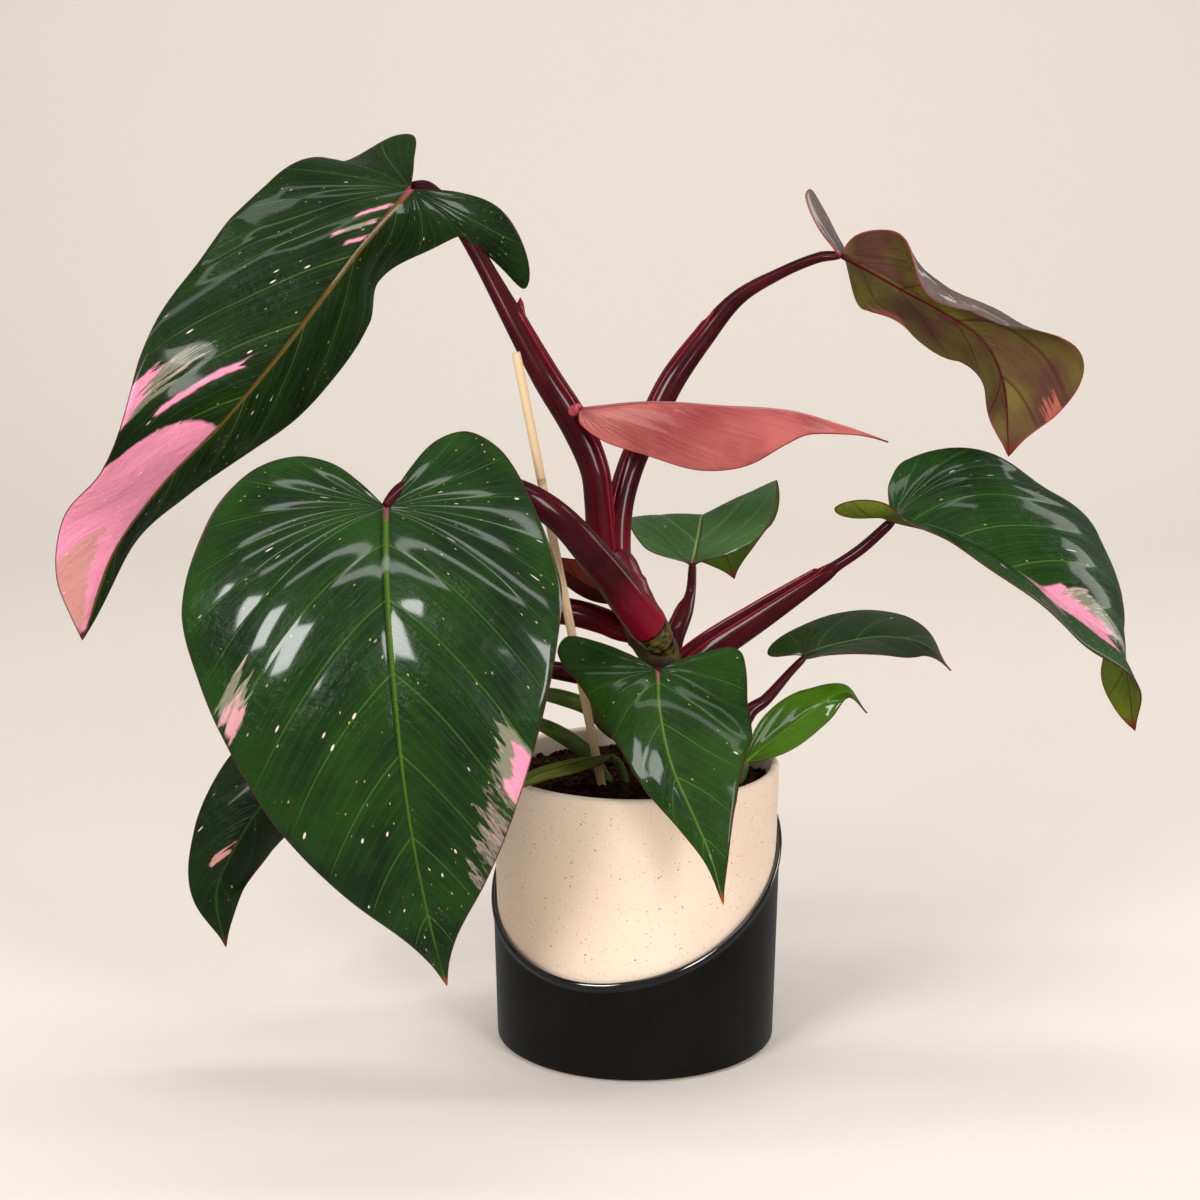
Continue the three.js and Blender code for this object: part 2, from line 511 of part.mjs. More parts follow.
// A plug of soil that fills the pot, with a crumbly top that is raised by seeded draws.
function soilSolid() {
  const random = seededRandom(SEED);
  const topRadius = wallRadius(SOIL_LEVEL) - POT_WALL - 2 * GAP;
  const bottomRadius = BASE_RADIUS - POT_WALL - FOOT_CHAMFER - 2 * GAP;
  const points = [[0, 0, SOIL_LEVEL]];
  for (let i = 1; i <= SOIL_RINGS; i += 1) {
    for (let k = 0; k < SOIL_SEGMENTS; k += 1) {
      const angle = (2 * Math.PI * (k + 0.5 * (i % 2))) / SOIL_SEGMENTS;
      const radius = (topRadius * i) / SOIL_RINGS;
      const crumb = i === SOIL_RINGS ? -SOIL_CRUMB : (random() - 0.5) * 2 * SOIL_CRUMB;
      points.push([radius * Math.cos(angle), radius * Math.sin(angle), SOIL_LEVEL + crumb]);
    }
  }
  for (let k = 0; k < SOIL_SEGMENTS; k += 1) {
    const angle = (2 * Math.PI * (k + 0.5 * (SOIL_RINGS % 2))) / SOIL_SEGMENTS;
    points.push([bottomRadius * Math.cos(angle), bottomRadius * Math.sin(angle), POT_FLOOR + 2 * GAP]);
  }
  points.push([0, 0, POT_FLOOR + 2 * GAP]);
  const triangles = [];
  const at = (i, k) => 1 + (i - 1) * SOIL_SEGMENTS + (k % SOIL_SEGMENTS);
  const last = points.length - 1;
  for (let k = 0; k < SOIL_SEGMENTS; k += 1) {
    triangles.push([0, at(1, k), at(1, k + 1)], [last, at(SOIL_RINGS + 1, k + 1), at(SOIL_RINGS + 1, k)]);
    for (let i = 1; i <= SOIL_RINGS; i += 1) {
      triangles.push([at(i, k), at(i + 1, k), at(i + 1, k + 1)], [at(i, k), at(i + 1, k + 1), at(i, k + 1)]);
    }
  }
  return solidFrom(surface(points, triangles));
}

const STAKE_TOP = new THREE.Vector3(-52, -24, 318);
const STAKE_FOOT = new THREE.Vector3(-15, -14, 121);

function stakeSolid(grow) {
  const along = STAKE_FOOT.clone().sub(STAKE_TOP).normalize();
  const buried = STAKE_FOOT.clone().addScaledVector(along, STAKE_DEPTH + grow);
  const length = buried.distanceTo(STAKE_TOP);
  const rod = new THREE.CylinderGeometry(STAKE_RADIUS + grow, STAKE_RADIUS + grow, length, 10);
  rod.applyQuaternion(new THREE.Quaternion().setFromUnitVectors(new THREE.Vector3(0, -1, 0), along));
  const middle = buried.add(STAKE_TOP).multiplyScalar(0.5);
  return solidFrom(rod.translate(middle.x, middle.y, middle.z));
}

// The small ball of clearance that keeps a petiole's end off its blade at the joint.
function jointClearance(leaf) {
  const [x, y, z] = leaf.midrib[1];
  return solidFrom(new THREE.IcosahedronGeometry(JOINT_CLEARANCE, 1).translate(x, y, z));
}

// ---- assembly
const group = new THREE.Group();
group.name = 'potted_philodendron';

function addNode(name, solid, colour, roughness) {
  const material = new THREE.MeshStandardMaterial({ color: COLOURS[colour], roughness, metalness: 0 });
  const mesh = new THREE.Mesh(geometryFrom(solid), material);
  mesh.name = name;
  group.add(mesh);
}

addNode('pot', potSolid(), 'stoneware', 0.8);
addNode('dip_glaze', dipSolid(), 'dip', 0.12);
addNode('bamboo_stake', stakeSolid(0), 'bamboo', 0.7);

const { main_stem: mainStem, ...petioles } = STALKS;
addNode('main_stem', cutClear(solidFrom(stalkGeometry(mainStem, 0)), [stakeSolid(GAP)]), mainStem.colour, 0.3);

const placed = [stakeSolid(GAP), solidFrom(stalkGeometry(mainStem, GAP))];
Object.entries(LEAVES).forEach(([name, leaf]) => {
  const blade = cutClear(solidFrom(bladeGeometry(leaf, BLADE_THICKNESS)), placed);
  addNode(`${name}_blade`, blade, leaf.colour, 0.35);
  placed.push(blade, solidFrom(bladeGeometry(leaf, BLADE_THICKNESS + 3 * GAP)), jointClearance(leaf));
});
Object.entries(petioles).forEach(([name, stalk]) => {
  addNode(name, cutClear(solidFrom(stalkGeometry(stalk, 0)), placed), stalk.colour, 0.3);
  placed.push(solidFrom(stalkGeometry(stalk, GAP)));
});
addNode('soil', cutClear(soilSolid(), placed), 'soil', 0.95);

export default group;
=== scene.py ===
"""A pink princess philodendron in a dipped stoneware pot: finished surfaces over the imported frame."""
import math

import bmesh
import bpy
import numpy as np
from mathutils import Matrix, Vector, noise


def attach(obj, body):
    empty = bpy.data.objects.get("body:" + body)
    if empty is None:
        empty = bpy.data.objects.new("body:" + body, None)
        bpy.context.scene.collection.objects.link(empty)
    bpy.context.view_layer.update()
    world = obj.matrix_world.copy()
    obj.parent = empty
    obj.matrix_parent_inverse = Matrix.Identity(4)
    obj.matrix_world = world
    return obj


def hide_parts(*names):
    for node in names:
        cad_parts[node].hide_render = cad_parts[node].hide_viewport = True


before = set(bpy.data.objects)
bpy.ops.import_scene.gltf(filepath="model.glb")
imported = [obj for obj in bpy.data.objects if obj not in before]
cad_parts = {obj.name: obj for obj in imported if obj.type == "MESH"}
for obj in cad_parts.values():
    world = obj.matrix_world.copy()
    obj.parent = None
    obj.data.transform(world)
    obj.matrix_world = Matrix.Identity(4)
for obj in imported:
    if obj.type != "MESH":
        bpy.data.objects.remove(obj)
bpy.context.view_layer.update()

bl_info = {
    "name": "Potted Philodendron",
    "version": (1, 0, 0),
    "blender": (4, 5, 0),
    "location": "View3D > Sidebar > Philodendron",
    "description": "Builds a variegated philodendron in a dipped stoneware pot",
    "category": "Object",
}

MM = 0.001

# The pot, its dip, the soil and the stake, in mm.
RIM_RADIUS = 65.0
BASE_RADIUS = 62.0
POT_HEIGHT = 130.0
POT_WALL = 4.0
POT_FLOOR = 6.0
FOOT_ROUND = 2.0
GAP = 0.3
DIP_THICKNESS = 1.4
DIP_LOW = 1.0
EDGE_ROLL = 1.2
DIP_CENTRE_HEIGHT = 82.0
DIP_SLOPE_X = 0.2
DIP_SLOPE_Y = 0.52
SOIL_LEVEL = 121.0
STAKE_TOP = (-52.0, -24.0, 318.0)
STAKE_FOOT = (-15.0, -14.0, 121.0)
STAKE_DEPTH = 75.0
STAKE_RADIUS = 2.0
SEED = 20
CRUMBS = {"Density": 110000.0, "Smallest": .3, "Largest": 1.0, "Crumb Size": .0021, "Seed": SEED}

# Side veins lean and bow towards the tip and crowd there; the first share of them fans out of the
# joint. The margin of each half has a few waves.
VEIN_LEAN = 0.35
VEIN_BOW = 0.55
TIP_SPACING = 1.3
FAN_SHARE = .5
BLADE_WAVES = 4

# Stalks have this many steps, a rounded end over the last three of them, and sheaths whose wings
# stand this many degrees off the upper side.
PATH_STEPS = 72
ROUND_END = (.97, .9, .72)
WING_ANGLE = 38

# The front petiole's scar and the cane's nodes, as shares of their length; the main stem's old leaf
# scars and the top of its rough bark, in mm.
SCAR = .115
CANE_NODES = (.23, .54, .83)
STEM_SCARS = (150, 168, 184, 199, 213)
BARK_TOP = 188

# A blade's half thickness at its margin and how much it gains inside, and its rib, in mm.
MARGIN_HALF = .32
INNER_GAIN = .1
RIB_HOLLOW = .35
RIB_DEPTH = 1.1
RIM_ROUND = .25

CAMERA_PLACE = (0, -1.0965, .4374)
CAMERA_TILT = 78.0
CAMERA_TURN = .85
SENSOR_WIDTH = 36
ROOM_TINT = (1, .98, .96, 1)
ROOM_STRENGTH = .15

# The paper sweep, in metres: its front edge, where it starts to bend, the bend's radius, its top
# and half its width.
SWEEP_FRONT = -3
BEND_START = 1.2
BEND_RADIUS = .8
SWEEP_TOP = 3.0
SWEEP_HALF = 4

# Half a leaf laid flat: [along, out] from the joint round to the tip, as shares of the lobe
# (negative) or the midrib, and of the half's width.
HEART = [(0, 0), (-.45, .12), (-.85, .27), (-1, .46), (-.75, .68), (0, .87), (.17, 1), (.32, .93),
         (.48, .77), (.63, .58), (.76, .37), (.87, .15), (.94, .05), (1, 0)]
BROAD = [(0, 0), (-.5, .2), (-1, .45), (-.6, .66), (.06, .84), (.25, .97), (.4, 1), (.55, .9), (.7, .68),
         (.82, .42), (.92, .15), (.96, .06), (1, 0)]
FULL = [(0, 0), (-.5, .2), (-1, .45), (-.75, .74), (0, .98), (.18, 1.07), (.35, 1.04), (.52, .9),
         (.68, .68), (.8, .52), (.9, .36), (.96, .16), (1, 0)]
FLARE = [(0, 0), (-.6, .25), (-1, .5), (-1.05, .8), (-.92, 1.14), (-.62, .9), (-.3, .62), (-.05, .45),
         (.12, .43), (.3, .5), (.42, .46), (.55, .31), (.7, .22), (.85, .12), (.95, .04), (1, 0)]
PINCH = [(0, 0), (0, .15), (.02, .3), (.08, .5), (.17, .7), (.28, .72), (.42, .66), (.56, .7), (.68, .93),
         (.76, 1), (.85, .66), (.93, .25), (1, 0)]
KEEL = [(0, 0), (-.6, .2), (-1, .5), (-.8, .62), (-.4, .52), (0, .45), (.08, .64), (.2, .93), (.32, 1),
         (.5, .84), (.65, .6), (.8, .34), (.92, .12), (.96, .05), (1, 0)]
LATE = [(0, 0), (-.6, .15), (-.8, .3), (0, .55), (.15, .8), (.3, .95), (.45, 1), (.6, .97), (.75, .84),
         (.87, .55), (.95, .2), (1, 0)]
ARROW = [(0, 0), (-.4, .25), (-.8, .6), (-1, .88), (-.7, 1), (.02, .84), (.14, .68), (.3, .48), (.5, .32),
         (.7, .16), (.85, .06), (1, 0)]
KITE = [(0, 0), (-.4, .25), (-.8, .6), (-1, .88), (-.7, 1), (.1, 1), (.25, 1), (.38, .95), (.5, .78),
         (.65, .47), (.8, .2), (.92, .06), (1, 0)]
SPEAR = [(0, 0), (0, .25), (.1, .62), (.3, .92), (.42, 1), (.55, .88), (.68, .5), (.75, .28), (.88, .1),
         (1, 0)]
LANCE = [(0, 0), (0, .1), (.1, .5), (.25, .88), (.42, 1), (.6, .86), (.75, .56), (.88, .22), (.95, .08),
         (1, 0)]

# Midrib stations in mm and degrees: x, y, z, roll, left fold, right fold, left curl, right curl.
# veins is how many strong side veins each half has, and relief is how far the blade swells
# between them, in mm.
LEAVES = {
    "front": dict(across=0, widths=(88, 72), lobes=(24, 40), outlines=(HEART, HEART), wave=1.5,
        cells=(208, 28), veins=14, relief=1.1, midrib=[(-104, -45, 290, 0, 10, 5, -35, -30),
        (-104, -75, 259, 0, 12, 8, -40, -30), (-101, -104, 226, 0, 12, 8, -40, -30),
        (-97, -118, 184, 0, 10, 8, -35, -25), (-93, -118, 142, 0, 8, 8, -25, -20),
        (-87, -108, 97, 0, 0, 0, -10, -10), (-80, -92, 56, 0, 0, 0, 0, 0)]),
    "upper_left": dict(across=0, widths=(51, 66), lobes=(33, 24), outlines=(FULL, FLARE), wave=1.5,
        cells=(168, 26), veins=13, relief=.8, midrib=[(-83, 25, 402, 0, -5, -10, -20, -60),
        (-99, 5, 386, 0, -5, -20, -20, -90), (-119, -8, 362, 0, 0, -70, -15, -30),
        (-133, -15, 344, 0, 5, -50, -20, -20), (-154, -20, 317, 0, 10, -45, -25, -10),
        (-180, -22, 287, 0, 32, -40, -20, 0), (-208, -20, 259, 0, 46, -40, 0, 0),
        (-232, -12, 227, 0, 10, -50, 0, 0), (-250, 0, 185, 0, 0, 0, 0, 0)]),
    "upper_right": dict(across=180, widths=(37, 42), lobes=(4, 22), outlines=(PINCH, KEEL), wave=1,
        cells=(132, 22), veins=9, relief=.4, midrib=[(69, 10, 366, 0, 20, 95, 0, 0),
        (91, 25, 356, 0, 45, 82, -20, -10), (119, 30, 340, 0, 60, 58, -280, -10),
        (137, 32, 330, 0, 60, 70, -370, -10), (156, 30, 317, 0, 40, 74, -240, -10),
        (165, 26, 298, 0, 5, 70, 0, 0), (167, 18, 267, 0, 0, 0, 0, 0)]),
    "new_pink": dict(across=90, widths=(29, 24), lobes=(2, 2), outlines=(SPEAR, SPEAR), wave=0,
        cells=(120, 18), veins=12, relief=.2, midrib=[(-34, -4, 290, 0, -60, -60, -20, -20),
        (-25, -7, 292, 0, -65, -75, -40, -40), (6, -16, 296, 0, -65, -75, -40, -40),
        (36, -22, 295, 0, -62, -75, -40, -40), (66, -24, 293, 0, -60, -75, -50, -40),
        (90, -22, 286, 0, -50, -60, -60, -40), (109, -20, 279, 0, 0, 0, 0, 0)]),
    "right": dict(across=90, widths=(38, 59), lobes=(28, 6), outlines=(BROAD, LATE), wave=1,
        cells=(144, 24), veins=11, relief=.6, midrib=[(95, 0, 246, 0, -40, 50, 200, -20),
        (114, 0, 241, 0, 15, 60, 0, -25), (139, -5, 235, 0, 12, 62, -20, -30),
        (164, -8, 222, 0, 8, 54, -20, -30), (190, -10, 205, 0, 0, 48, -20, -30),
        (215, -12, 184, -15, -20, 35, -20, -20), (224, -8, 147, -45, 0, 0, 0, 0)]),
    "back": dict(across=180, widths=(40, 36), lobes=(3, 3), outlines=(BROAD, BROAD), wave=0, cells=(96, 18),
        veins=8, relief=.35, midrib=[(25, 30, 210, 0, 0, 0, 0, 0), (26, 45, 212, 0, 26, 22, 0, 0),
        (29, 62, 222, 0, 26, 14, 0, -10), (32, 80, 229, 0, 25, 0, 0, -20), (40, 98, 216, 0, 0, 0, -20, -20),
        (48, 104, 193, 0, 0, 0, 0, 0)]),
    "mid_right": dict(across=90, widths=(22, 27), lobes=(3, 13), outlines=(BROAD, BROAD), wave=0,
        cells=(96, 16), veins=7, relief=.3, midrib=[(66, 12, 170, 0, 0, 30, 0, 0),
        (77, 15, 176, 0, 5, 30, 0, -20), (93, 16, 181, 0, 0, 28, 0, -20),
        (113, 16, 184, 0, -10, 25, 0, -20), (131, 14, 181, 0, -20, 15, 0, 0),
        (143, 10, 170, 0, 0, 0, 0, 0)]),
    "low_right": dict(across=90, widths=(9, 14), lobes=(.5, .5), outlines=(LANCE, LANCE), wave=0,
        cells=(72, 12), veins=7, relief=.15, midrib=[(45, -8, 125, 50, 0, 0, 0, 0),
        (50, -6, 131, 50, -20, -5, 0, 0), (67, -2, 144, 50, -30, -5, 0, 0), (81, 1, 154, 45, -30, -5, 0, 0),
        (95, 4, 161, 20, 0, 0, 0, 0), (105, 6, 151, 0, 0, 0, 0, 0)]),
    "low_front": dict(across=0, widths=(41, 39), lobes=(26, 11), outlines=(ARROW, KITE), wave=0,
        cells=(120, 20), veins=9, relief=.5, midrib=[(7, -42, 194, 0, 0, 0, -10, -10),
        (9, -54, 185, 0, 0, 0, -10, -20), (10, -69, 171, 0, -10, 0, -10, -20),
        (15, -83, 151, 0, -15, 0, -10, -20), (25, -92, 130, 0, -15, 0, -10, -15),
        (32, -96, 114, 0, -10, 0, -10, -10), (37, -96, 94, 0, 0, 0, 0, 0)]),
    "lower_left": dict(across=0, widths=(25, 30), lobes=(14, 14), outlines=(BROAD, BROAD), wave=0,
        cells=(120, 18), veins=9, relief=.7, midrib=[(-115, -34, 166, 0, 0, 0, 0, 0),
        (-128, -31, 156, 0, 0, -20, -20, -20), (-146, -32, 141, 0, 0, -30, -20, -20),
        (-163, -34, 122, 0, -5, -40, -20, -20), (-178, -36, 99, 0, -5, -45, -20, -20),
        (-187, -36, 77, 0, -10, -40, -10, -10), (-184, -32, 51, 0, 0, 0, 0, 0)]),
    "rim_left": dict(across=90, widths=(9, 8), lobes=(.5, .5), outlines=(LANCE, LANCE), wave=0,
        cells=(72, 10), veins=6, relief=.15, midrib=[(-3, -8, 135, 0, 0, 0, 0, 0),
        (-11, -12, 135, 0, 0, 0, 0, 0), (-27, -30, 136, 0, 0, 0, 0, 0), (-44, -50, 136, 0, 0, 0, 0, 0),
        (-62, -76, 133, 0, 0, 0, 0, 0)]),
    "dry_bract": dict(across=0, widths=(9, 9), lobes=(1, 1), outlines=(LANCE, LANCE), wave=0,
        cells=(48, 10), veins=5, relief=.15, midrib=[(-1, 2, 196, 0, 0, 0, 0, 0),
        (-8, 0, 203, 0, 20, 20, 20, 20), (-26, -2, 214, 0, 20, 20, 20, 20), (-41, -7, 227, 0, 0, 0, 0, 0)]),
}

# Patches of colour follow the side veins: (half, first vein share, last vein share, nearest
# and furthest reach from the midrib, raggedness, kind and, if it crosses veins, its slant).
PATCHES = {
    "front": [(-1, .535, .572, .80, .97, .2, "grey"), (-1, .55, .582, .86, .98, .16, "marble"),
        (1, .645, .70, .80, 1.1, .2, "grey"), (1, .65, .71, .90, 1.1, .1, "pink"),
        (1, .70, .77, .80, 1.1, .34, "haze"), (1, .765, .84, .84, 1.1, .36, "haze")],
    "upper_left": [(-1, .802, .99, -.2, 1.2, .1, "pink", -.075), (-1, .885, .985, .42, 1.2, .3, "salmon"),
        (-1, .65, .694, .70, .95, .5, "grey"), (-1, .642, .688, .87, 1.2, .3, "pink"),
        (-1, .716, .727, .24, .76, .16, "pink"), (-1, .535, .542, .03, .2, .1, "pink"),
        (-1, .56, .568, .05, .26, .1, "marble"), (-1, .586, .592, .02, .13, .1, "pink")],
    "right": [(-1, .69, .86, -.2, .6, .08, "pink"), (1, .775, .875, -.2, .17, .08, "pink"),
        (1, .785, .90, .12, .34, .12, "grey")],
    "lower_left": [(-1, .825, .85, .1, .5, .5, "salmon")],
    "upper_right": [(1, .50, .57, .84, 1.2, .4, "salmon"), (-1, .80, .86, .86, 1.2, .4, "salmon")],
}
# Two tints, the share of grey mottling and how much of the green is covered.
PATCH_LOOKS = {
    "pink": ("#f298b6", "#e68aa8", 0, 1),
    "salmon": ("#c98780", "#d79a92", 0, .95),
    "marble": ("#e295ac", "#d9a69f", .45, .85),
    "grey": ("#dbaeb0", "#cbbcae", .7, .75),
    "haze": ("#e0a4b0", "#c3b3a8", .3, .5),
}

LEAF_LOOKS = {
    "front": dict(deep="#0c210a", light="#1f400e", rib="#4c6a18", rib_base="#9c3f5a", vein="#426a1e",
        under="#56641f", flecks=1, gloss=.17),
    "upper_left": dict(deep="#0a1d06", light="#1c3410", rib="#6b5222", rib_base="#a83f58", vein="#4e6a2a",
        under="#4f4f2a", flecks=.8, gloss=.22, coat=.42),
    "upper_right": dict(deep="#4a443c", light="#7d6a66", rib="#7a3a44", rib_base="#7a1c34", vein="#7a5a58",
        under="#6f6829", under_dark="#55352a", rim="#a03c48", flecks=.1, gloss=.3),
    "new_pink": dict(deep="#8c3a3e", light="#b4645c", rib="#d98a86", rib_base="#9a2436", vein="#9a3038",
        under="#93413a", under_dark="#7c2c2a", rim="#7a1624", flecks=0, gloss=.45, coat=.12),
    "right": dict(deep="#0e260b", light="#214512", rib="#5a8424", rib_base="#7a4040", vein="#4f7a2a",
        under="#64751f", flecks=.7, gloss=.2, coat=.5),
    "back": dict(deep="#2a4b20", light="#476839", rib="#8d9c52", rib_base="#93404a", vein="#7d9a5c",
        under="#5a7a22", flecks=.25, gloss=.28, coat=.5),
    "mid_right": dict(deep="#15270e", light="#2f431f", rib="#60783a", rib_base="#7a2c3c", vein="#566b40",
        under="#4a6224", flecks=.15, gloss=.28),
    "low_right": dict(deep="#305a08", light="#528012", rib="#6f8f2a", rib_base="#8fb840", vein="#5c831e",
        under="#6f9420", flecks=.1, gloss=.28),
    "low_front": dict(deep="#10280b", light="#244312", rib="#597626", rib_base="#b3506a", vein="#4a7026",
        under="#4f6a20", flecks=.55, gloss=.24, coat=.4),
    "lower_left": dict(deep="#0c1a09", light="#1b2e12", rib="#364a1b", rib_base="#4a3a2c", vein="#2e461d",
        under="#3c4a20", flecks=.3, gloss=.24, coat=.35),
    "rim_left": dict(deep="#33501a", light="#6a7f2c", rib="#a0a848", rib_base="#a0a848", vein="#7a9038",
        under="#6f8028", flecks=0, gloss=.34),
    "dry_bract": dict(deep="#5f1f16", light="#8a3f2a", rib="#4a1414", rib_base="#4a1414", vein="#4f1f16",
        under="#7a3424", flecks=0, gloss=.45),
}

# Stalks in mm: x, y, z, radius from the root to the end. A sheath's wings run to its notch.
STALKS = {
    "main_stem": dict(rows=[(7, 4, 60, 8), (7, 4, 110, 10.5), (10, 3, 143, 10), (12, 1, 173, 9),
        (5, 0, 190, 9.5), (-4, 2, 208, 9.5), (-11, 4, 225, 8.5)]),
    "front_petiole": dict(rows=[(13, -2, 181, 5), (7, -12, 193, 8.3), (-2, -22, 207, 8.5),
        (-16, -34, 228, 7.5), (-31, -46, 248, 6.5), (-45, -50, 259, 6), (-64, -50, 266, 5.2),
        (-83, -56, 268, 4.2), (-97, -66, 266, 3.2), (-104, -75, 260, 2.6)], scar=SCAR),
    "upper_left_petiole": dict(rows=[(-9, 3, 207, 4.5), (-15, 3, 224, 6.6), (-17, 2, 247, 6.2),
        (-19, 2, 263, 6.2), (-27, 3, 282, 6.6), (-40, 5, 303, 6.2), (-52, 9, 324, 5.2), (-69, 16, 355, 4.2),
        (-81, 19, 374, 3.8), (-91, 17, 385, 3.6), (-98, 9, 387, 3.2)], notch=.655, wing=3,
        upper=(1, -.2, .6)),
    "upper_right_petiole": dict(rows=[(-5, 5, 209, 4), (-8, 8, 226, 5.5), (-7, 12, 245, 5.6),
        (-2, 17, 263, 5.6), (6, 21, 280, 5.6), (16, 24, 300, 5.6), (29, 27, 318, 4.8), (45, 29, 337, 3.8),
        (64, 30, 348, 2.8), (81, 29, 355, 2.5), (90, 26, 356, 2.3)], notch=.688, wing=2.5,
        upper=(-1, -.3, .6)),
    "right_petiole": dict(rows=[(12, 10, 160, 7), (30, 8, 177, 7.4), (58, 6, 197, 6), (85, 4, 216, 3.6),
        (89, 4, 219, 2.7), (101, 3, 228, 2.6), (114, 0, 241, 2.4)], notch=.72, wing=3, upper=(-.6, -.4, 1)),
    "back_petiole": dict(rows=[(15, 16, 168, 4.5), (17, 22, 181, 4.8), (22, 32, 192, 4.2),
        (25, 39, 200, 2.6), (26, 45, 212, 2)], notch=.6, wing=1.5, upper=(-1, -.3, .3)),
    "mid_right_petiole": dict(rows=[(40, 2, 100, 3), (42, 2, 123, 3), (47, 5, 141, 3.6), (52, 8, 151, 3.4),
        (59, 10, 156, 2.8), (70, 13, 168, 2), (77, 15, 175, 1.7)], notch=.6, wing=1.2, upper=(-.6, -.4, 1)),
    "low_right_petiole": dict(rows=[(42, -6, 100, 2.2), (45, -6, 118, 2.2), (48, -6, 125, 2.2),
        (50, -6, 131, 1.6)]),
    "low_front_petiole": dict(rows=[(14, -18, 95, 3), (14, -22, 121, 3), (14, -30, 148, 3),
        (12, -43, 172, 2.6), (9, -54, 185, 2.2)]),
    "lower_left_petiole": dict(rows=[(3, 4, 187, 4.4), (-8, 6, 190, 5.6), (-14, 6, 193, 6),
        (-28, 2, 198, 6.2), (-41, -2, 200, 6.2), (-61, -12, 198, 5.4), (-91, -22, 185, 4.2),
        (-113, -28, 169, 3.4), (-127, -31, 156, 2.8)]),
    "old_petiole": dict(rows=[(5, 4, 162, 4), (-16, 2, 167, 4.2), (-32, 0, 171, 4.2), (-48, -3, 174, 3.6),
        (-59, -6, 174, 3)]),
    "rim_left_petiole": dict(rows=[(-3, -3, 100, 2), (-4, -3, 118, 2), (-7, -7, 129, 2),
        (-11, -12, 135, 1.4)]),
    "old_sheath_upper": dict(rows=[(2, 4, 136, 3), (-11, 2, 143, 3.2), (-21, 0, 154, 3.6),
        (-34, -3, 160, 3.6), (-48, -8, 164, 2.4)]),
    "old_sheath_lower": dict(rows=[(-6, 2, 110, 3), (-14, -2, 122, 3), (-23, -4, 135, 3.6),
        (-36, -7, 145, 3.6), (-50, -12, 153, 2.2)]),
    "new_pink_petiole": dict(rows=[(-33, 4, 286, 2.8), (-29, 0, 289, 2.8), (-25, -6, 292, 2)]),
}
FRESH_STALKS = ("low_right_petiole", "rim_left_petiole", "old_sheath_upper", "old_sheath_lower")


# ---- shader expressions

def linear(code):
    """A linear RGBA colour from a #rrggbb code."""
    parts = [int(code[i:i + 2], 16) / 255 for i in (1, 3, 5)]
    return tuple(c / 12.92 if c <= .04045 else ((c + .055) / 1.055) ** 2.4 for c in parts) + (1,)


class Value:
    """A shader socket that adds Math nodes as it is used in an expression."""

    def __init__(self, paint, socket):
        self.paint = paint
        self.socket = socket

    def math(self, operation, *others):
        inputs = dict(enumerate((self, *others)))
        return self.paint.add("ShaderNodeMath", dict(operation=operation), inputs)

    def __add__(self, other): return self.math("ADD", other)
    def __radd__(self, other): return self.math("ADD", other)
    def __sub__(self, other): return self.math("SUBTRACT", other)
    def __rsub__(self, other): return (self * -1) + other
    def __mul__(self, other): return self.math("MULTIPLY", other)
    def __rmul__(self, other): return self.math("MULTIPLY", other)
    def __truediv__(self, other): return self.math("DIVIDE", other)
    def __pow__(self, other): return self.math("POWER", other)

    def clamp(self):
        return self.math("MINIMUM", 1).math("MAXIMUM", 0)

    def over(self, edge, soft):
        """1 where the value is above edge, with a soft step."""
        return ((self - (edge - soft / 2)) / soft).clamp()

    def under(self, edge, soft):
        """1 where the value is below edge, with a soft step."""
        return 1 - self.over(edge, soft)


class Paint:
    """Builds one material's nodes."""

    def __init__(self, name):
        self.material = bpy.data.materials.new(name)
        self.material.use_nodes = True
        self.tree = self.material.node_tree
        self.surface = self.tree.nodes["Principled BSDF"]

    def add(self, kind, settings=None, inputs=None, output=0):
        node = self.tree.nodes.new(kind)
        for key, value in (settings or {}).items():
            setattr(node, key, value)
        for key, value in (inputs or {}).items():
            self.put(node.inputs[key], value)
        return Value(self, node.outputs[output])

    def put(self, socket, value):
        if isinstance(value, Value):
            self.tree.links.new(value.socket, socket)
        elif value is not None:
            socket.default_value = value

    def parts(self, vector):
        split = self.add("ShaderNodeSeparateXYZ", None, {0: vector})
        return [Value(self, socket) for socket in split.socket.node.outputs]

    def vector(self, x, y, z):
        return self.add("ShaderNodeCombineXYZ", None, {0: x, 1: y, 2: z})

    def attribute(self, name):
        return self.add("ShaderNodeAttribute", dict(attribute_name=name), None, "Vector")

    def place(self):
        return self.add("ShaderNodeTexCoord", None, None, "Object")

    def noise(self, vector, scale, detail=3, rough=.5):
        return self.add("ShaderNodeTexNoise", None, {"Vector": vector, "Scale": scale, "Detail": detail,
                                                     "Roughness": rough})

    def cells(self, vector, scale):
        """Each point's distance from its cell's middle, and the cell's own draw between 0 and 1."""
        distance = self.add("ShaderNodeTexVoronoi", None, {"Vector": vector, "Scale": scale})
        return distance, self.parts(Value(self, distance.socket.node.outputs["Color"]))[0]

    def mix(self, factor, low, high):
        """A colour mix; low and high are colours or links."""
        return self.add("ShaderNodeMix", dict(data_type="RGBA"), {0: factor, 6: low, 7: high}, 2)

    def bump(self, height, distance, strength):
        return self.add("ShaderNodeBump", None, {
            "Height": height, "Distance": distance, "Strength": strength})

    def finish(self, colour, roughness, normal=None, **constants):
        self.put(self.surface.inputs["Base Color"], colour)
        self.put(self.surface.inputs["Roughness"], roughness)
        self.put(self.surface.inputs["Normal"], normal)
        for key, value in constants.items():
            self.surface.inputs[key.replace("_", " ")].default_value = value
        return self.material


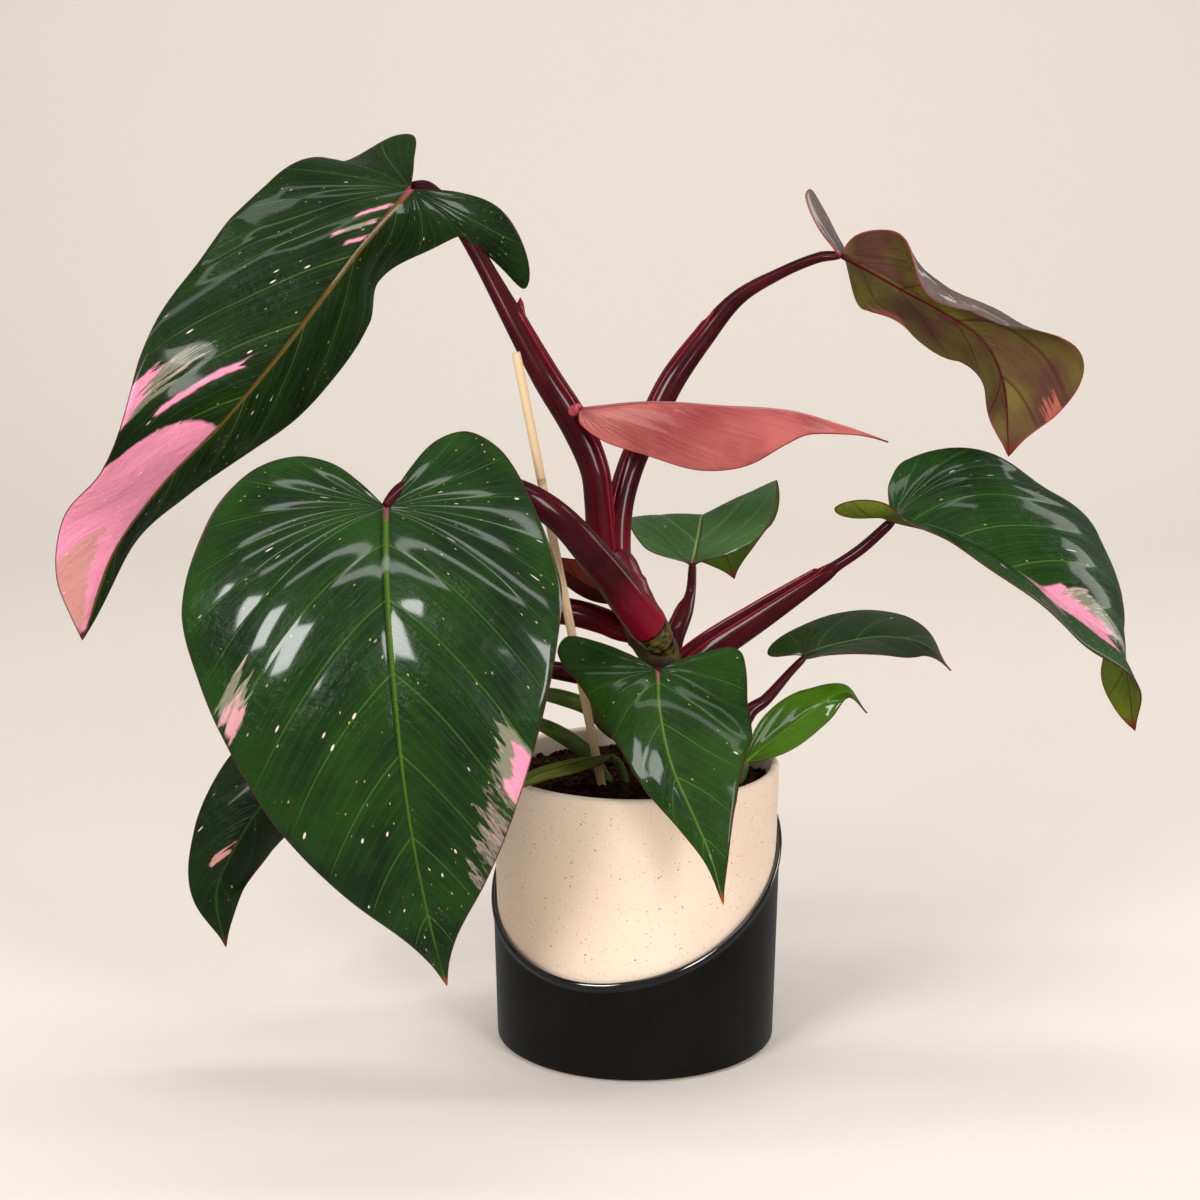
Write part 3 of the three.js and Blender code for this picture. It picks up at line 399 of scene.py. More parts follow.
def leaf_material(name, is_under):
    """One blade's upper face, with its veins, patches and flecks, or its underside."""
    leaf, look = LEAVES[name], LEAF_LOOKS[name]
    paint = Paint(name + ("_under" if is_under else "_upper"))
    turn, reach, half = paint.parts(paint.attribute("vein"))
    out, along, edge = paint.parts(paint.attribute("flat"))
    flat = paint.vector(out, along, half * 40)
    cloud = paint.noise(flat, .028, 3)
    streak = paint.noise(paint.vector(turn * 150, reach * 2.2, half * 3), 1, 3, .6)
    length = midrib_length(leaf)
    distance = ((turn * leaf["veins"] + .5).math("FRACT") - .5).math("ABSOLUTE")
    vein = distance.under(.011 - reach * .005, .015) * reach.under(.93, .2)
    halo = distance.under(.06, .12) * reach.under(.8, .5)
    veinlet = ((turn * leaf["veins"] * 5).math("FRACT") - .5).math("ABSOLUTE").under(.04, .08)
    rib_width = (1 - (along / length).clamp() * .75) * (.55 + .0035 * length)
    rib = (out.math("ABSOLUTE") / rib_width).under(.8, .7)
    margin = edge.under(.45, .4)
    tip = along.over(length - 4, 5)
    if is_under:
        dark = look.get("under_dark", shade(look["under"], .72))
        colour = paint.mix(cloud.over(.5, .3), linear(look["under"]), linear(dark))
        colour = paint.mix(distance.under(.024, .03) * reach.under(.95, .3) * .7, colour, linear("#4a141c"))
        colour = paint.mix(veinlet * .1, colour, linear(shade(look["under"], 1.3)))
        colour = paint.mix(rib, colour, linear("#5a101e"))
    else:
        tone = (streak * .35 + cloud * .65 + reach.under(.1, .5) * .1).over(.54, .32)
        colour = paint.mix(tone, linear(look["deep"]), linear(look["light"]))
        # Painted glow: a lighter green in cloudy blobs within about 30 mm of the margin, painted light on the
        # thin edge.
        painted_edge_glow = edge.under(16, 30) * cloud.over(.45, .3) * .45
        colour = paint.mix(painted_edge_glow, colour, linear(shade(look["light"], 1.15)))
        colour = paint.mix(veinlet * reach.under(.9, .3) * .16, colour, linear(look["vein"]))
        colour = paint.mix(halo * .06 + vein * .8, colour, linear(look["vein"]))
        colour = paint.mix(rib * .95, colour, paint.mix(along.under(4, 9), linear(look["rib"]),
                                                         linear(look["rib_base"])))
    colour = patches(paint, colour, name, turn, reach, half, flat, is_under)
    if not is_under and look["flecks"]:
        colour = flecks(paint, colour, turn, reach, half, look["flecks"], length)
    colour = paint.mix(margin * .85, colour, linear(look.get("rim", "#4f1a16")))
    colour = paint.mix(tip, colour, linear("#a8481c" if name in ("front", "low_front") else "#6f2016"))
    lumps = paint.noise(flat, .22, 3, .6)
    dimples = paint.noise(flat, 1.1, 2)
    swells = paint.noise(flat, .07, 2)
    ripple = swells * 2.8 + lumps * 1.7 + streak + dimples * .3
    normal = paint.bump(ripple, .62 * MM, .8)
    rough = look["gloss"] + .12 * streak + (.2 if is_under else 0) + margin * .1
    return paint.finish(colour, rough, normal, Coat_Weight=0 if is_under else look.get("coat", .9),
                        Coat_Roughness=.1, Specular_IOR_Level=.1)


def shade(code, factor):
    """A #rrggbb code made darker or lighter."""
    parts = [min(255, int(int(code[i:i + 2], 16) * factor)) for i in (1, 3, 5)]
    return "#%02x%02x%02x" % tuple(parts)


def patches(paint, colour, name, turn, reach, half, flat, is_under):
    """The blade's pink and grey patches, ragged along the side veins; dull salmon from below."""
    streaks = paint.noise(paint.vector(turn * 110, reach * 1.4, half * 5), 1, 3, .6)
    drift = (paint.noise(flat, .1, 2) - .5) * .012
    mottle = paint.noise(paint.vector(turn * 60, reach * 2.6, half * 9), 1, 3, .75)
    grey = paint.mix(mottle, linear("#6d7858"), linear("#a59c88"))
    for side, first, last, near, far, ragged, kind, *slant in PATCHES.get(name, []):
        low, high, greyness, cover = PATCH_LOOKS[kind]
        jitter = (streaks - .5) * ragged * 2
        start = reach * slant[0] + first if slant else first
        on_turn = (turn + drift).over(start, .004) * (turn + drift).under(last, .004)
        on_reach = (reach + jitter).over(near, .02) * (reach + jitter * .5).under(far, .02)
        on_side = (half * side).over(0, .01)
        fill = paint.mix((streaks * .6 + mottle * .4).over(.5, .3), linear(low), linear(high))
        if greyness:
            fill = paint.mix(mottle.over(.72 - .42 * greyness, .05), fill, grey)
        if is_under:
            fill = linear("#a85a48")
        if cover < .7:
            cover = mottle.over(.5, .12) * cover
        colour = paint.mix(on_turn * on_reach * on_side * cover, colour, fill)
    return colour


def flecks(paint, colour, turn, reach, half, amount, length):
    """Small cream dots and a few short dashes that lie along the side veins."""
    span = length * 2.1
    for across, lengthwise, size, chance, tint in ((4.5, 6, .1, .3, "#c9a862"), (9, 17, .09, .28, "#ecd2cc"),
                                                 (10, 52, .05, .34, "#f0dcd4")):
        where = paint.vector(turn * (span / across), reach * (length * .42 / lengthwise), half * 7 + across)
        distance, lot = paint.cells(where, 1.0)
        mask = distance.under(size, size * .5) * lot.over(1 - chance * amount, .01) * reach.under(.96, .02)
        colour = paint.mix(mask * reach.over(.06, .02), colour, linear(tint))
    return colour


def stalk_material(name, deep, light, bright, scar=0):
    """A glossy stalk, redder at its base and on the sheath's edges; olive and rough below a scar."""
    paint = Paint(name)
    run, top, wing = paint.parts(paint.attribute("stalk"))
    place = paint.place()
    streak = paint.noise(paint.vector(top * 7, run * 4, wing), 1, 3)
    cloud = paint.noise(place, 60, 3)
    colour = paint.mix((streak * .6 + cloud * .5).over(.55, .4), linear(deep), linear(light))
    colour = paint.mix(wing * .75, colour, linear(bright))
    colour = paint.mix(run.under(.1 + scar, .2) * .7, colour, linear(bright))
    freckle = paint.cells(place, 700)[0].under(.14, .1) * cloud.over(.55, .1)
    colour = paint.mix(freckle * .15, colour, linear("#8a4a3a"))
    if scar:
        wander = run + (paint.noise(place, 150, 2) - .5) * .012
        bark = paint.mix(paint.noise(place, 320, 3, .7).over(.5, .2), linear("#2a1d10"), linear("#767235"))
        colour = paint.mix(wander.under(scar, .005), colour, bark)
        edge_ring = (wander - scar).math("ABSOLUTE").under(.004, .004)
        low_ring = (wander - .4 * scar).math("ABSOLUTE").under(.008, .004)
        colour = paint.mix((edge_ring + low_ring).clamp() * .9, colour, linear("#170806"))
    normal = paint.bump(streak * .6 + cloud * .4, .25 * MM, .5)
    return paint.finish(colour, .2 + .16 * cloud, normal, Coat_Weight=.4, Coat_Roughness=.06,
                        Specular_IOR_Level=.12)


def stem_material():
    """The main stem: maroon above, olive-brown and rough round the old leaf scars."""
    paint = Paint("main_stem")
    place = paint.place()
    height = paint.parts(place)[2]
    cloud = paint.noise(place, 90, 4, .6)
    band = (height + (cloud - .5) * .012).under(.189, .006)
    rings = ((height * 330).math("SINE") * .5 + .5) ** 6
    bark = paint.mix(cloud.over(.5, .3), linear("#2c1c10"), linear("#5f5428"))
    bark = paint.mix(rings * .7, bark, linear("#170c08"))
    colour = paint.mix(cloud.over(.52, .3), linear("#4a0a16"), linear("#86122a"))
    colour = paint.mix(band, colour, bark)
    normal = paint.bump(cloud + rings * .3, .6 * MM, .7)
    return paint.finish(colour, .32 + .3 * band, normal, Coat_Weight=.15, Coat_Roughness=.2)


def stoneware_material():
    """Cream, unglazed stoneware with iron specks and a faint thrown grain."""
    paint = Paint("speckled_stoneware")
    place = paint.place()
    cloud = paint.noise(place, 14, 3)
    grain = paint.noise(place, 900, 2)
    colour = paint.mix(cloud.over(.5, .5), linear("#ead2ba"), linear("#f1dfcd"))
    colour = paint.mix(grain.over(.62, .2) * .25, colour, linear("#dcc0a0"))
    for scale, size, chance, tint in ((190, .075, .5, "#7a5434"), (330, .1, .5, "#8f6844"),
                                      (560, .13, .5, "#a88060"), (85, .04, .6, "#6e4a30")):
        distance, lot = paint.cells(place, scale)
        colour = paint.mix(distance.under(size, size * .8) * lot.over(chance, .02) * .9, colour, linear(tint))
    normal = paint.bump(grain * .4 + cloud * .3, .18 * MM, .5)
    return paint.finish(colour, .62 + .12 * grain, normal, Specular_IOR_Level=.35)


def glaze_material(name, coat, mirror):
    """Thick black glaze that pools a little; the pooled edge has the heavier coat."""
    paint = Paint(name)
    place = paint.place()
    flow = paint.noise(place, 30, 2)
    fine = paint.noise(place, 260, 2)
    colour = paint.mix(flow.over(.55, .4), linear("#0a0908"), linear("#13110f"))
    normal = paint.bump(flow + fine * .12, 1.1 * MM, .28)
    return paint.finish(colour, .34 - .3 * mirror + .06 * fine, normal, Coat_Weight=coat, Coat_Roughness=.04,
                        Specular_IOR_Level=mirror)


def soil_material(name, deep, light):
    """Damp, crumbly soil with a few rust-brown bits of bark."""
    paint = Paint(name)
    place = paint.place()
    crumb = paint.noise(place, 260, 4, .7)
    lot = paint.cells(place, 240)[1]
    colour = paint.mix(crumb.over(.5, .35), linear(deep), linear(light))
    colour = paint.mix(lot.over(.82, .05) * .6, colour, linear("#5a2a18"))
    normal = paint.bump(crumb, 1.2 * MM, .9)
    return paint.finish(colour, .86 + .1 * crumb, normal, Specular_IOR_Level=.2)


def bamboo_material():
    """Pale bare bamboo with a fine long grain and darker nodes."""
    paint = Paint("bare_bamboo")
    run, top, _ = paint.parts(paint.attribute("stalk"))
    grain = paint.noise(paint.vector(top * 14, run * 3, .5), 1, 4, .6)
    node = (run * 3.2 + .35).math("FRACT").under(.03, .02)
    colour = paint.mix(grain.over(.5, .35), linear("#d2ad80"), linear("#ead0a8"))
    colour = paint.mix(node * .6, colour, linear("#9a744a"))
    return paint.finish(colour, .55 + .1 * grain, paint.bump(grain, .2 * MM, .5))


def plain_material(name, code, roughness):
    """The stage's pale paper, with a barely seen mottle."""
    paint = Paint(name)
    mottle = paint.noise(paint.place(), 2, 2)
    colour = paint.mix(mottle, linear(code), linear(shade(code, .985)))
    return paint.finish(colour, roughness, Specular_IOR_Level=.15)


# ---- geometry helpers

def knots_along(points):
    """How far along its line each point lies."""
    steps = np.linalg.norm(np.diff(points, axis=0), axis=1)
    return np.concatenate([[0], np.cumsum(steps)])


def midrib_length(leaf):
    """Length of the midrib from the joint to the tip."""
    return knots_along(np.array(leaf["midrib"], float)[1:, :3])[-1]


def track(knots, rows, at):
    """Rows of numbers run smoothly through the knots and on in a straight line beyond them."""
    at = np.atleast_1d(np.asarray(at, float))
    last = len(knots) - 1
    low = np.maximum(np.arange(last + 1) - 1, 0)
    high = np.minimum(np.arange(last + 1) + 1, last)
    slope = (rows[high] - rows[low]) / (knots[high] - knots[low])[:, None]
    i = np.clip(np.searchsorted(knots, at, side="right") - 1, 0, last - 1)
    span = (knots[i + 1] - knots[i])[:, None]
    x = np.clip((at - knots[i]) / span[:, 0], 0, 1)[:, None]
    value = ((2 * x ** 3 - 3 * x ** 2 + 1) * rows[i] + (x ** 3 - 2 * x ** 2 + x) * span * slope[i]
             + (3 * x ** 2 - 2 * x ** 3) * rows[i + 1] + (x ** 3 - x ** 2) * span * slope[i + 1])
    before = at < knots[0]
    after = at > knots[-1]
    value[before] = rows[0] + (at[before] - knots[0])[:, None] * slope[0]
    value[after] = rows[-1] + (at[after] - knots[-1])[:, None] * slope[-1]
    return value


def unit(vectors):
    return vectors / np.maximum(np.linalg.norm(vectors, axis=-1, keepdims=True), 1e-9)


def new_object(name, points, faces, materials, face_material=None):
    """A mesh object at the origin; points are in mm."""
    mesh = bpy.data.meshes.new(name)
    vertices = [tuple(point) for point in np.asarray(points) * MM]
    mesh.from_pydata(vertices, [], [tuple(int(v) for v in face) for face in faces])
    for material in materials:
        mesh.materials.append(material)
    if face_material is not None:
        mesh.polygons.foreach_set("material_index", face_material)
    mesh.polygons.foreach_set("use_smooth", [True] * len(mesh.polygons))
    mesh.update()
    piece = bpy.data.objects.new(name, mesh)
    bpy.context.scene.collection.objects.link(piece)
    return piece


def give_vectors(mesh, name, vectors):
    layer = mesh.attributes.new(name, "FLOAT_VECTOR", "POINT")
    layer.data.foreach_set("vector", np.asarray(vectors, np.float32).ravel())


def seat(piece, slot, *nodes):
    """The piece stands for its nodes and rides on the only body; its slot is not used."""
    if not len(piece.data.polygons):
        raise RuntimeError(piece.name + " has no faces")
    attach(piece, "root")
    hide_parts(*nodes)


def lathe_faces(rings, segments):
    """Quads between rings of points that have the same number of segments."""
    faces = []
    for i in range(rings - 1):
        a, b = i * segments, (i + 1) * segments
        for k in range(segments):
            n = (k + 1) % segments
            faces.append((a + k, a + n, b + n, b + k))
    return faces


# ---- blades

def blade_sheet(leaf):
    """Middle surface points[half][row, column] with each point's vein and flat coordinates."""
    rows, columns = leaf["cells"]
    stations = np.array(leaf["midrib"], float)
    places = stations[:, :3]
    angles = stations[:, 3:]
    raw = knots_along(places)
    knots = raw - raw[1]
    length = knots[-1]
    across = math.radians(leaf["across"])
    level = np.array([math.cos(across), math.sin(across), 0.0])
    turn = np.linspace(0, 1, rows + 1)
    root = np.clip((turn - FAN_SHARE) / (1 - FAN_SHARE), 0, 1) ** TIP_SPACING * length
    halves = []
    for index, side in enumerate((-1, 1)):
        width = leaf["widths"][index]
        outline = np.array([(a * (leaf["lobes"][index] if a < 0 else length), o * width)
                            for a, o in leaf["outlines"][index]], float)
        turns = knots_along(outline)
        edge = track(turns, outline, turn * turns[-1])
        points = np.zeros((rows + 1, columns + 1, 3))
        flat = np.zeros((rows + 1, columns + 1, 3))
        vein = np.zeros((rows + 1, columns + 1, 3))
        for j in range(columns + 1):
            r = j / columns
            pull = 2 * r * (1 - r)
            along = (1 - r) ** 2 * root + pull * (root + VEIN_LEAN * (edge[:, 0] - root)) + r * r * edge[:, 0]
            out = pull * VEIN_BOW * edge[:, 1] + r * r * edge[:, 1]
            spine = track(knots, places, along)
            tangent = unit(track(knots, places, along + .5) - track(knots, places, along - .5))
            right = unit(level - (tangent @ level)[:, None] * tangent)
            upper = np.cross(tangent, right)
            values = np.radians(track(knots, angles, along))
            roll = values[:, :1]
            fold = values[:, 1 + index]
            share = out / width
            bow = values[:, 3 + index] * share / 2
            chord = np.sinc(bow / np.pi)
            sideways = out * np.cos(fold + bow) * chord
            ripple = leaf["wave"] * share ** 2 * np.sin(2 * np.pi * BLADE_WAVES * turn + side)
            lift = out * np.sin(fold + bow) * chord + ripple
            rolled_right = right * np.cos(roll) + upper * np.sin(roll)
            rolled_upper = upper * np.cos(roll) - right * np.sin(roll)
            points[:, j] = spine + side * rolled_right * sideways[:, None] + rolled_upper * lift[:, None]
            flat[:, j] = np.stack([side * out, along, 0 * out], -1)
            vein[:, j] = np.stack([turn, 0 * turn + r, 0 * turn + side], -1)
        steps = np.linalg.norm(np.diff(points, axis=1), axis=2)
        flat[:, :-1, 2] = np.cumsum(steps[:, ::-1], axis=1)[:, ::-1]
        halves.append((points, vein, flat))
    return halves


def joined_halves(leaf):
    """Both halves as one sheet with a shared midrib: points, vein, flat and faces."""
    rows, columns = leaf["cells"]
    halves = blade_sheet(leaf)
    fan = int(round(rows * FAN_SHARE))
    index, sources, faces = {}, [], []

    def at(half, i, j):
        on_rib = j == 0 or i == 0 or i == rows
        row = 0 if i <= fan and (j == 0 or i == 0) else i
        key = ("rib", row) if on_rib else (half, i, j)
        if key not in index:
            index[key] = len(sources)
            sources.append((1, row, 0) if on_rib else key)
        return index[key]

    for half in (0, 1):
        for i in range(rows):
            for j in range(columns):
                corners = [at(half, i, j), at(half, i + 1, j), at(half, i + 1, j + 1), at(half, i, j + 1)]
                ring = [c for n, c in enumerate(corners) if c != corners[n - 1]]
                if len(ring) > 2:
                    faces.append(ring[::-1] if half == 0 else ring)
    layers = [np.array([halves[half][layer][i, j] for half, i, j in sources]) for layer in range(3)]
    return *layers, faces


def open_edges(faces):
    """The edges that only one face has, in the order in which the faces name them."""
    edges = {}
    for ring in faces:
        for n, a in enumerate(ring):
            b = ring[(n + 1) % len(ring)]
            if (b, a) in edges:
                del edges[(b, a)]
            else:
                edges[(a, b)] = True
    return list(edges)


def blade_piece(name, materials):
    """One closed blade: swollen between its side veins, ribbed below and round at the margin."""
    leaf = LEAVES[name]
    points, vein, flat, sheet = joined_halves(leaf)
    normals = sheet_normals(points, sheet)
    swell = np.abs(np.sin(np.pi * leaf["veins"] * vein[:, 0]))
    calm = np.clip(vein[:, 1] * 4, 0, 1) * np.clip((1 - vein[:, 1]) * 3, 0, 1) * np.clip(flat[:, 2] / 6, 0, 1)
    lift = leaf["relief"] * swell * calm * np.where(vein[:, 0] < FAN_SHARE, .45, 1)
    taper = np.clip(1 - flat[:, 1] / midrib_length(leaf), .1, 1)
    rib = np.exp(-(flat[:, 0] / (.7 + 1.3 * taper)) ** 2) * taper
    half_thick = MARGIN_HALF + INNER_GAIN * np.clip(flat[:, 2] / 3, 0, 1)
    top = points + normals * (half_thick + lift - RIB_HOLLOW * rib)[:, None]
    low = points + normals * (-half_thick + lift * .9 - RIB_DEPTH * rib)[:, None]
    count = len(points)
    edges = open_edges(sheet)
    push = np.zeros((count, 3))
    for a, b in edges:
        outward = np.cross(points[b] - points[a], normals[a])
        push[a] += outward
        push[b] += outward
    rim_index, rim_points = {}, []
    for a, b in edges:
        for v in (a, b):
            if v not in rim_index:
                rim_index[v] = 2 * count + len(rim_points)
                rim_points.append(points[v] + unit(push[v]) * RIM_ROUND)
    faces = [tuple(r) for r in sheet] + [tuple(v + count for v in r[::-1]) for r in sheet]
    slots = [0] * len(sheet) + [1] * len(sheet)
    for a, b in edges:
        faces.append((b, a, rim_index[a], rim_index[b]))
        faces.append((rim_index[b], rim_index[a], a + count, b + count))
        slots += [0, 1]
    piece = new_object(name + "_leaf", np.vstack([top, low, rim_points]), faces, materials, slots)
    owners = list(rim_index)
    give_vectors(piece.data, "vein", np.vstack([vein, vein, vein[owners]]))
    give_vectors(piece.data, "flat", np.vstack([flat, flat, flat[owners]]))
    return piece


def sheet_normals(points, faces):
    """A unit normal at each point, shared by the faces round it."""
    normals = np.zeros_like(points)
    for ring in faces:
        a, b, c = points[ring[0]], points[ring[1]], points[ring[2]]
        face = np.cross(b - a, c - a)
        for v in ring:
            normals[v] += face
    return unit(normals)


# ---- Geometry Nodes

class Tree:
    """A small builder for one Geometry Nodes tree."""

    def __init__(self, name, sizes):
        self.group = bpy.data.node_groups.new(name, "GeometryNodeTree")
        face = self.group.interface
        face.new_socket("Geometry", in_out="INPUT", socket_type="NodeSocketGeometry")
        for label, kind in sizes:
            face.new_socket(label, in_out="INPUT", socket_type="NodeSocket" + kind)
        face.new_socket("Geometry", in_out="OUTPUT", socket_type="NodeSocketGeometry")
        self.source = self.group.nodes.new("NodeGroupInput")
        self.sink = self.group.nodes.new("NodeGroupOutput")

    def add(self, kind, settings=None, inputs=None):
        node = self.group.nodes.new(kind)
        for key, value in (settings or {}).items():
            setattr(node, key, value)
        for key, value in (inputs or {}).items():
            if isinstance(value, bpy.types.NodeSocket):
                self.group.links.new(value, node.inputs[key])
            else:
                node.inputs[key].default_value = value
        return node

    def end(self, geometry):
        self.group.links.new(geometry, self.sink.inputs[0])
        return self.group


def stalk_tree():
    """A round stalk along a line of points that hold their own thickness."""
    tree = Tree("stalk along a path", [("Sides", "Int"), ("Finish", "Material")])
    curve = tree.add("GeometryNodeMeshToCurve", None, {0: tree.source.outputs["Geometry"]})
    section = tree.add("GeometryNodeCurvePrimitiveCircle", None, {"Resolution": tree.source.outputs["Sides"],
                                                                 "Radius": 1.0})
    thickness = tree.add("GeometryNodeInputNamedAttribute", dict(data_type="FLOAT"), {"Name": "thickness"})
    tube = tree.add("GeometryNodeCurveToMesh", None, {
        "Curve": curve.outputs[0], "Profile Curve": section.outputs[0], "Scale": thickness.outputs[0],
        "Fill Caps": True})
    real = tree.add("GeometryNodeRealizeInstances", None, {0: tube.outputs[0]})
    painted = tree.add("GeometryNodeSetMaterial", None, {"Geometry": real.outputs[0],
                                                        "Material": tree.source.outputs["Finish"]})
    return tree.end(painted.outputs[0])


def crumb_tree():
    """Crumbs of soil strewn over a surface, each turned and sized by its own draw."""
    tree = Tree("soil crumbs", [("Density", "Float"), ("Smallest", "Float"), ("Largest", "Float"),
                                ("Crumb Size", "Float"), ("Seed", "Int"), ("Finish", "Material")])
    given = tree.source.outputs
    spread = tree.add("GeometryNodeDistributePointsOnFaces", None, {
        "Mesh": given["Geometry"], "Density": given["Density"], "Seed": given["Seed"]})
    ball = tree.add("GeometryNodeMeshIcoSphere", None, {"Radius": given["Crumb Size"], "Subdivisions": 2})
    bumps = tree.add("ShaderNodeTexNoise", dict(noise_dimensions="3D"), {"Scale": 420.0})
    middle = tree.add("ShaderNodeVectorMath", dict(operation="SUBTRACT"), {0: bumps.outputs["Color"],
                                                                          1: (.5, .5, .5)})
    shift = tree.add("ShaderNodeVectorMath", dict(operation="SCALE"), {0: middle.outputs[0], "Scale": .0032})
    lump = tree.add("GeometryNodeSetPosition", None, {
        "Geometry": ball.outputs[0], "Offset": shift.outputs[0]})
    turn = tree.add("FunctionNodeRandomValue", dict(data_type="FLOAT_VECTOR"), {
        0: (0, 0, 0), 1: (6.3, 6.3, 6.3), "Seed": given["Seed"]})
    size = tree.add("FunctionNodeRandomValue", dict(data_type="FLOAT"), {
        2: given["Smallest"], 3: given["Largest"], "Seed": given["Seed"]})
    placed = tree.add("GeometryNodeInstanceOnPoints", None, {
        "Points": spread.outputs[0], "Instance": lump.outputs[0], "Rotation": turn.outputs[0],
        "Scale": size.outputs[1]})
    real = tree.add("GeometryNodeRealizeInstances", None, {0: placed.outputs[0]})
    painted = tree.add("GeometryNodeSetMaterial", None, {
        "Geometry": real.outputs[0], "Material": given["Finish"]})
    return tree.end(painted.outputs[0])


def grown(name, source, tree, **sizes):
    """The plain mesh that a tree makes of a source object, which is then removed."""
    modifier = source.modifiers.new("grow", "NODES")
    modifier.node_group = tree
    for item in tree.interface.items_tree:
        if item.in_out == "INPUT" and item.name in sizes:
            modifier[item.identifier] = sizes[item.name]
    evaluated = source.evaluated_get(bpy.context.evaluated_depsgraph_get())
    mesh = bpy.data.meshes.new_from_object(evaluated)
    mesh.name = name
    source.modifiers.remove(modifier)
    bpy.data.objects.remove(source)
    mesh.polygons.foreach_set("use_smooth", [True] * len(mesh.polygons))
    piece = bpy.data.objects.new(name, mesh)
    bpy.context.scene.collection.objects.link(piece)
    return piece


# ---- stalks

def stalk_path(rows):
    """Even steps along a stalk and the place and radius at each."""
    rows = np.array(rows, float)
    knots = knots_along(rows[:, :3])
    run = np.linspace(0, 1, PATH_STEPS + 1)
    return run, track(knots, rows, run * knots[-1])


def stalk_frames(path, upper):
    """Tangent, upper side and side direction at each point of a path."""
    tangent = unit(np.gradient(path[:, :3], axis=0))
    level = np.array(upper, float)
    top = unit(level - (tangent @ level)[:, None] * tangent)
    return tangent, top, np.cross(tangent, top)


def stalk_line(name, path, radius):
    """A bare line of points that hold their own thickness."""
    line = new_object(name, path, [], [])
    line.data.edges.add(PATH_STEPS)
    line.data.edges.foreach_set("vertices", [v for i in range(PATH_STEPS) for v in (i, i + 1)])
    layer = line.data.attributes.new("thickness", "FLOAT", "POINT")
    layer.data.foreach_set("value", (radius * MM).astype(np.float32))
    return line


def stalk_piece(name, material, tree):
    """A stalk, with the two wings of its sheath where it has one."""
    stalk = STALKS[name]
    run, path = stalk_path(stalk["rows"])
    radius = path[:, 3].copy()
    radius[-3:] *= np.array(ROUND_END)
    if "scar" in stalk:
        radius *= 1 + .05 * np.exp(-((run - stalk["scar"] - .012) / .012) ** 2)
    line = stalk_line(name + "_path", path[:, :3], radius)
    piece = grown(name + "_stalk", line, tree, Sides=28, Finish=material)
    tangent, top, beside = stalk_frames(path, stalk.get("upper", (0, -1, .35)))
    points = np.array([v.co for v in piece.data.vertices]) / MM
    nearest = np.argmin(((points[:, None, :] - path[None, :, :3]) ** 2).sum(-1), axis=1)
    offset = points - path[nearest, :3]
    cosine = (unit(offset) * top[nearest]).sum(-1)
    channel = np.clip(cosine - .55, 0, 1) / .45
    depth = .22 * radius[nearest] * channel * np.clip((run[nearest] - stalk.get("notch", 1)) * 12, 0, 1)
    if name == "main_stem":
        depth = stem_relief(points)
    moved = points - unit(offset) * depth[:, None]
    piece.data.vertices.foreach_set("co", (moved * MM).ravel())
    give_vectors(piece.data, "stalk", np.stack([run[nearest], cosine, 0 * cosine], -1))
    piece.data.update()
    if "notch" in stalk:
        join(piece, sheath_wings(name, stalk, run, path, radius, top, beside, tangent, material))
    return piece


def stem_relief(points):
    """Swollen rings where old leaves were, and a rough skin low down, as depths in mm."""
    height = points[:, 2]
    rings = sum(np.exp(-((height - level) / 1.6) ** 2) for level in STEM_SCARS)
    rough = np.array([noise.noise(Vector(p) * .35) for p in points])
    return -.7 * rings - rough * np.where(height < BARK_TOP, .9, .35)


def sheath_wings(name, stalk, run, path, radius, top, beside, tangent, material):
    """Two thin wings that rise from the stalk's upper side and end in a small free ear."""
    last = int(stalk["notch"] * PATH_STEPS)
    points, extra = [], []
    for sign in (-1, 1):
        for i in range(last + 1):
            share = i / last
            angle = math.radians(WING_ANGLE) * sign
            grow = min(1, share * 6) * (1 - .25 * share)
            has_ear = sign == 1 and stalk["wing"] > 2
            height = stalk["wing"] * grow * ((1.3 if has_ear else -.1) if share > .97 else .45)
            outward = top[i] * math.cos(angle) + beside[i] * math.sin(angle)
            inward = top[i] * math.cos(angle * .45) + beside[i] * math.sin(angle * .45)
            base = path[i, :3] + outward * radius[i] * .9
            foot = path[i, :3] + inward * radius[i] * .86
            slide = tangent[i] * (stalk["wing"] * .8 if share > .97 and has_ear else 0)
            tip = path[i, :3] + unit(outward * .8 + inward * .2) * (radius[i] + height) + slide
            for point in (base, tip - beside[i] * sign * .12, tip + beside[i] * -sign * .45, foot):
                points.append(point)
                extra.append((run[i], .9, 1 if point is not base and point is not foot else .1))
    faces, per_side = [], (last + 1) * 4
    for s in (0, 1):
        start = s * per_side
        for i in range(last):
            for k in range(4):
                a, b = start + i * 4 + k, start + i * 4 + (k + 1) % 4
                quad = (a, b, b + 4, a + 4)
                faces.append(quad if s == 0 else quad[::-1])
        for i, flip in ((0, s == 0), (last, s == 1)):
            cap = tuple(start + i * 4 + k for k in range(4))
            faces.append(cap[::-1] if flip else cap)
    wings = new_object(name + "_wings", points, faces, [material])
    bm = bmesh.new()
    bm.from_mesh(wings.data)
    bmesh.ops.recalc_face_normals(bm, faces=bm.faces)
    bm.to_mesh(wings.data)
    bm.free()
    give_vectors(wings.data, "stalk", extra)
    return wings


def join(piece, other):
    """Adds another object's mesh to the piece's own."""
    with bpy.context.temp_override(active_object=piece, object=piece, selected_objects=[piece, other],
                                   selected_editable_objects=[piece, other]):
        bpy.ops.object.join()


# ---- pot, glaze, soil and stake

def wall_radius(z):
    """Outer radius of the pot's flared wall at a height."""
    return BASE_RADIUS + (RIM_RADIUS - BASE_RADIUS) * (z - FOOT_ROUND) / (POT_HEIGHT - FOOT_ROUND)


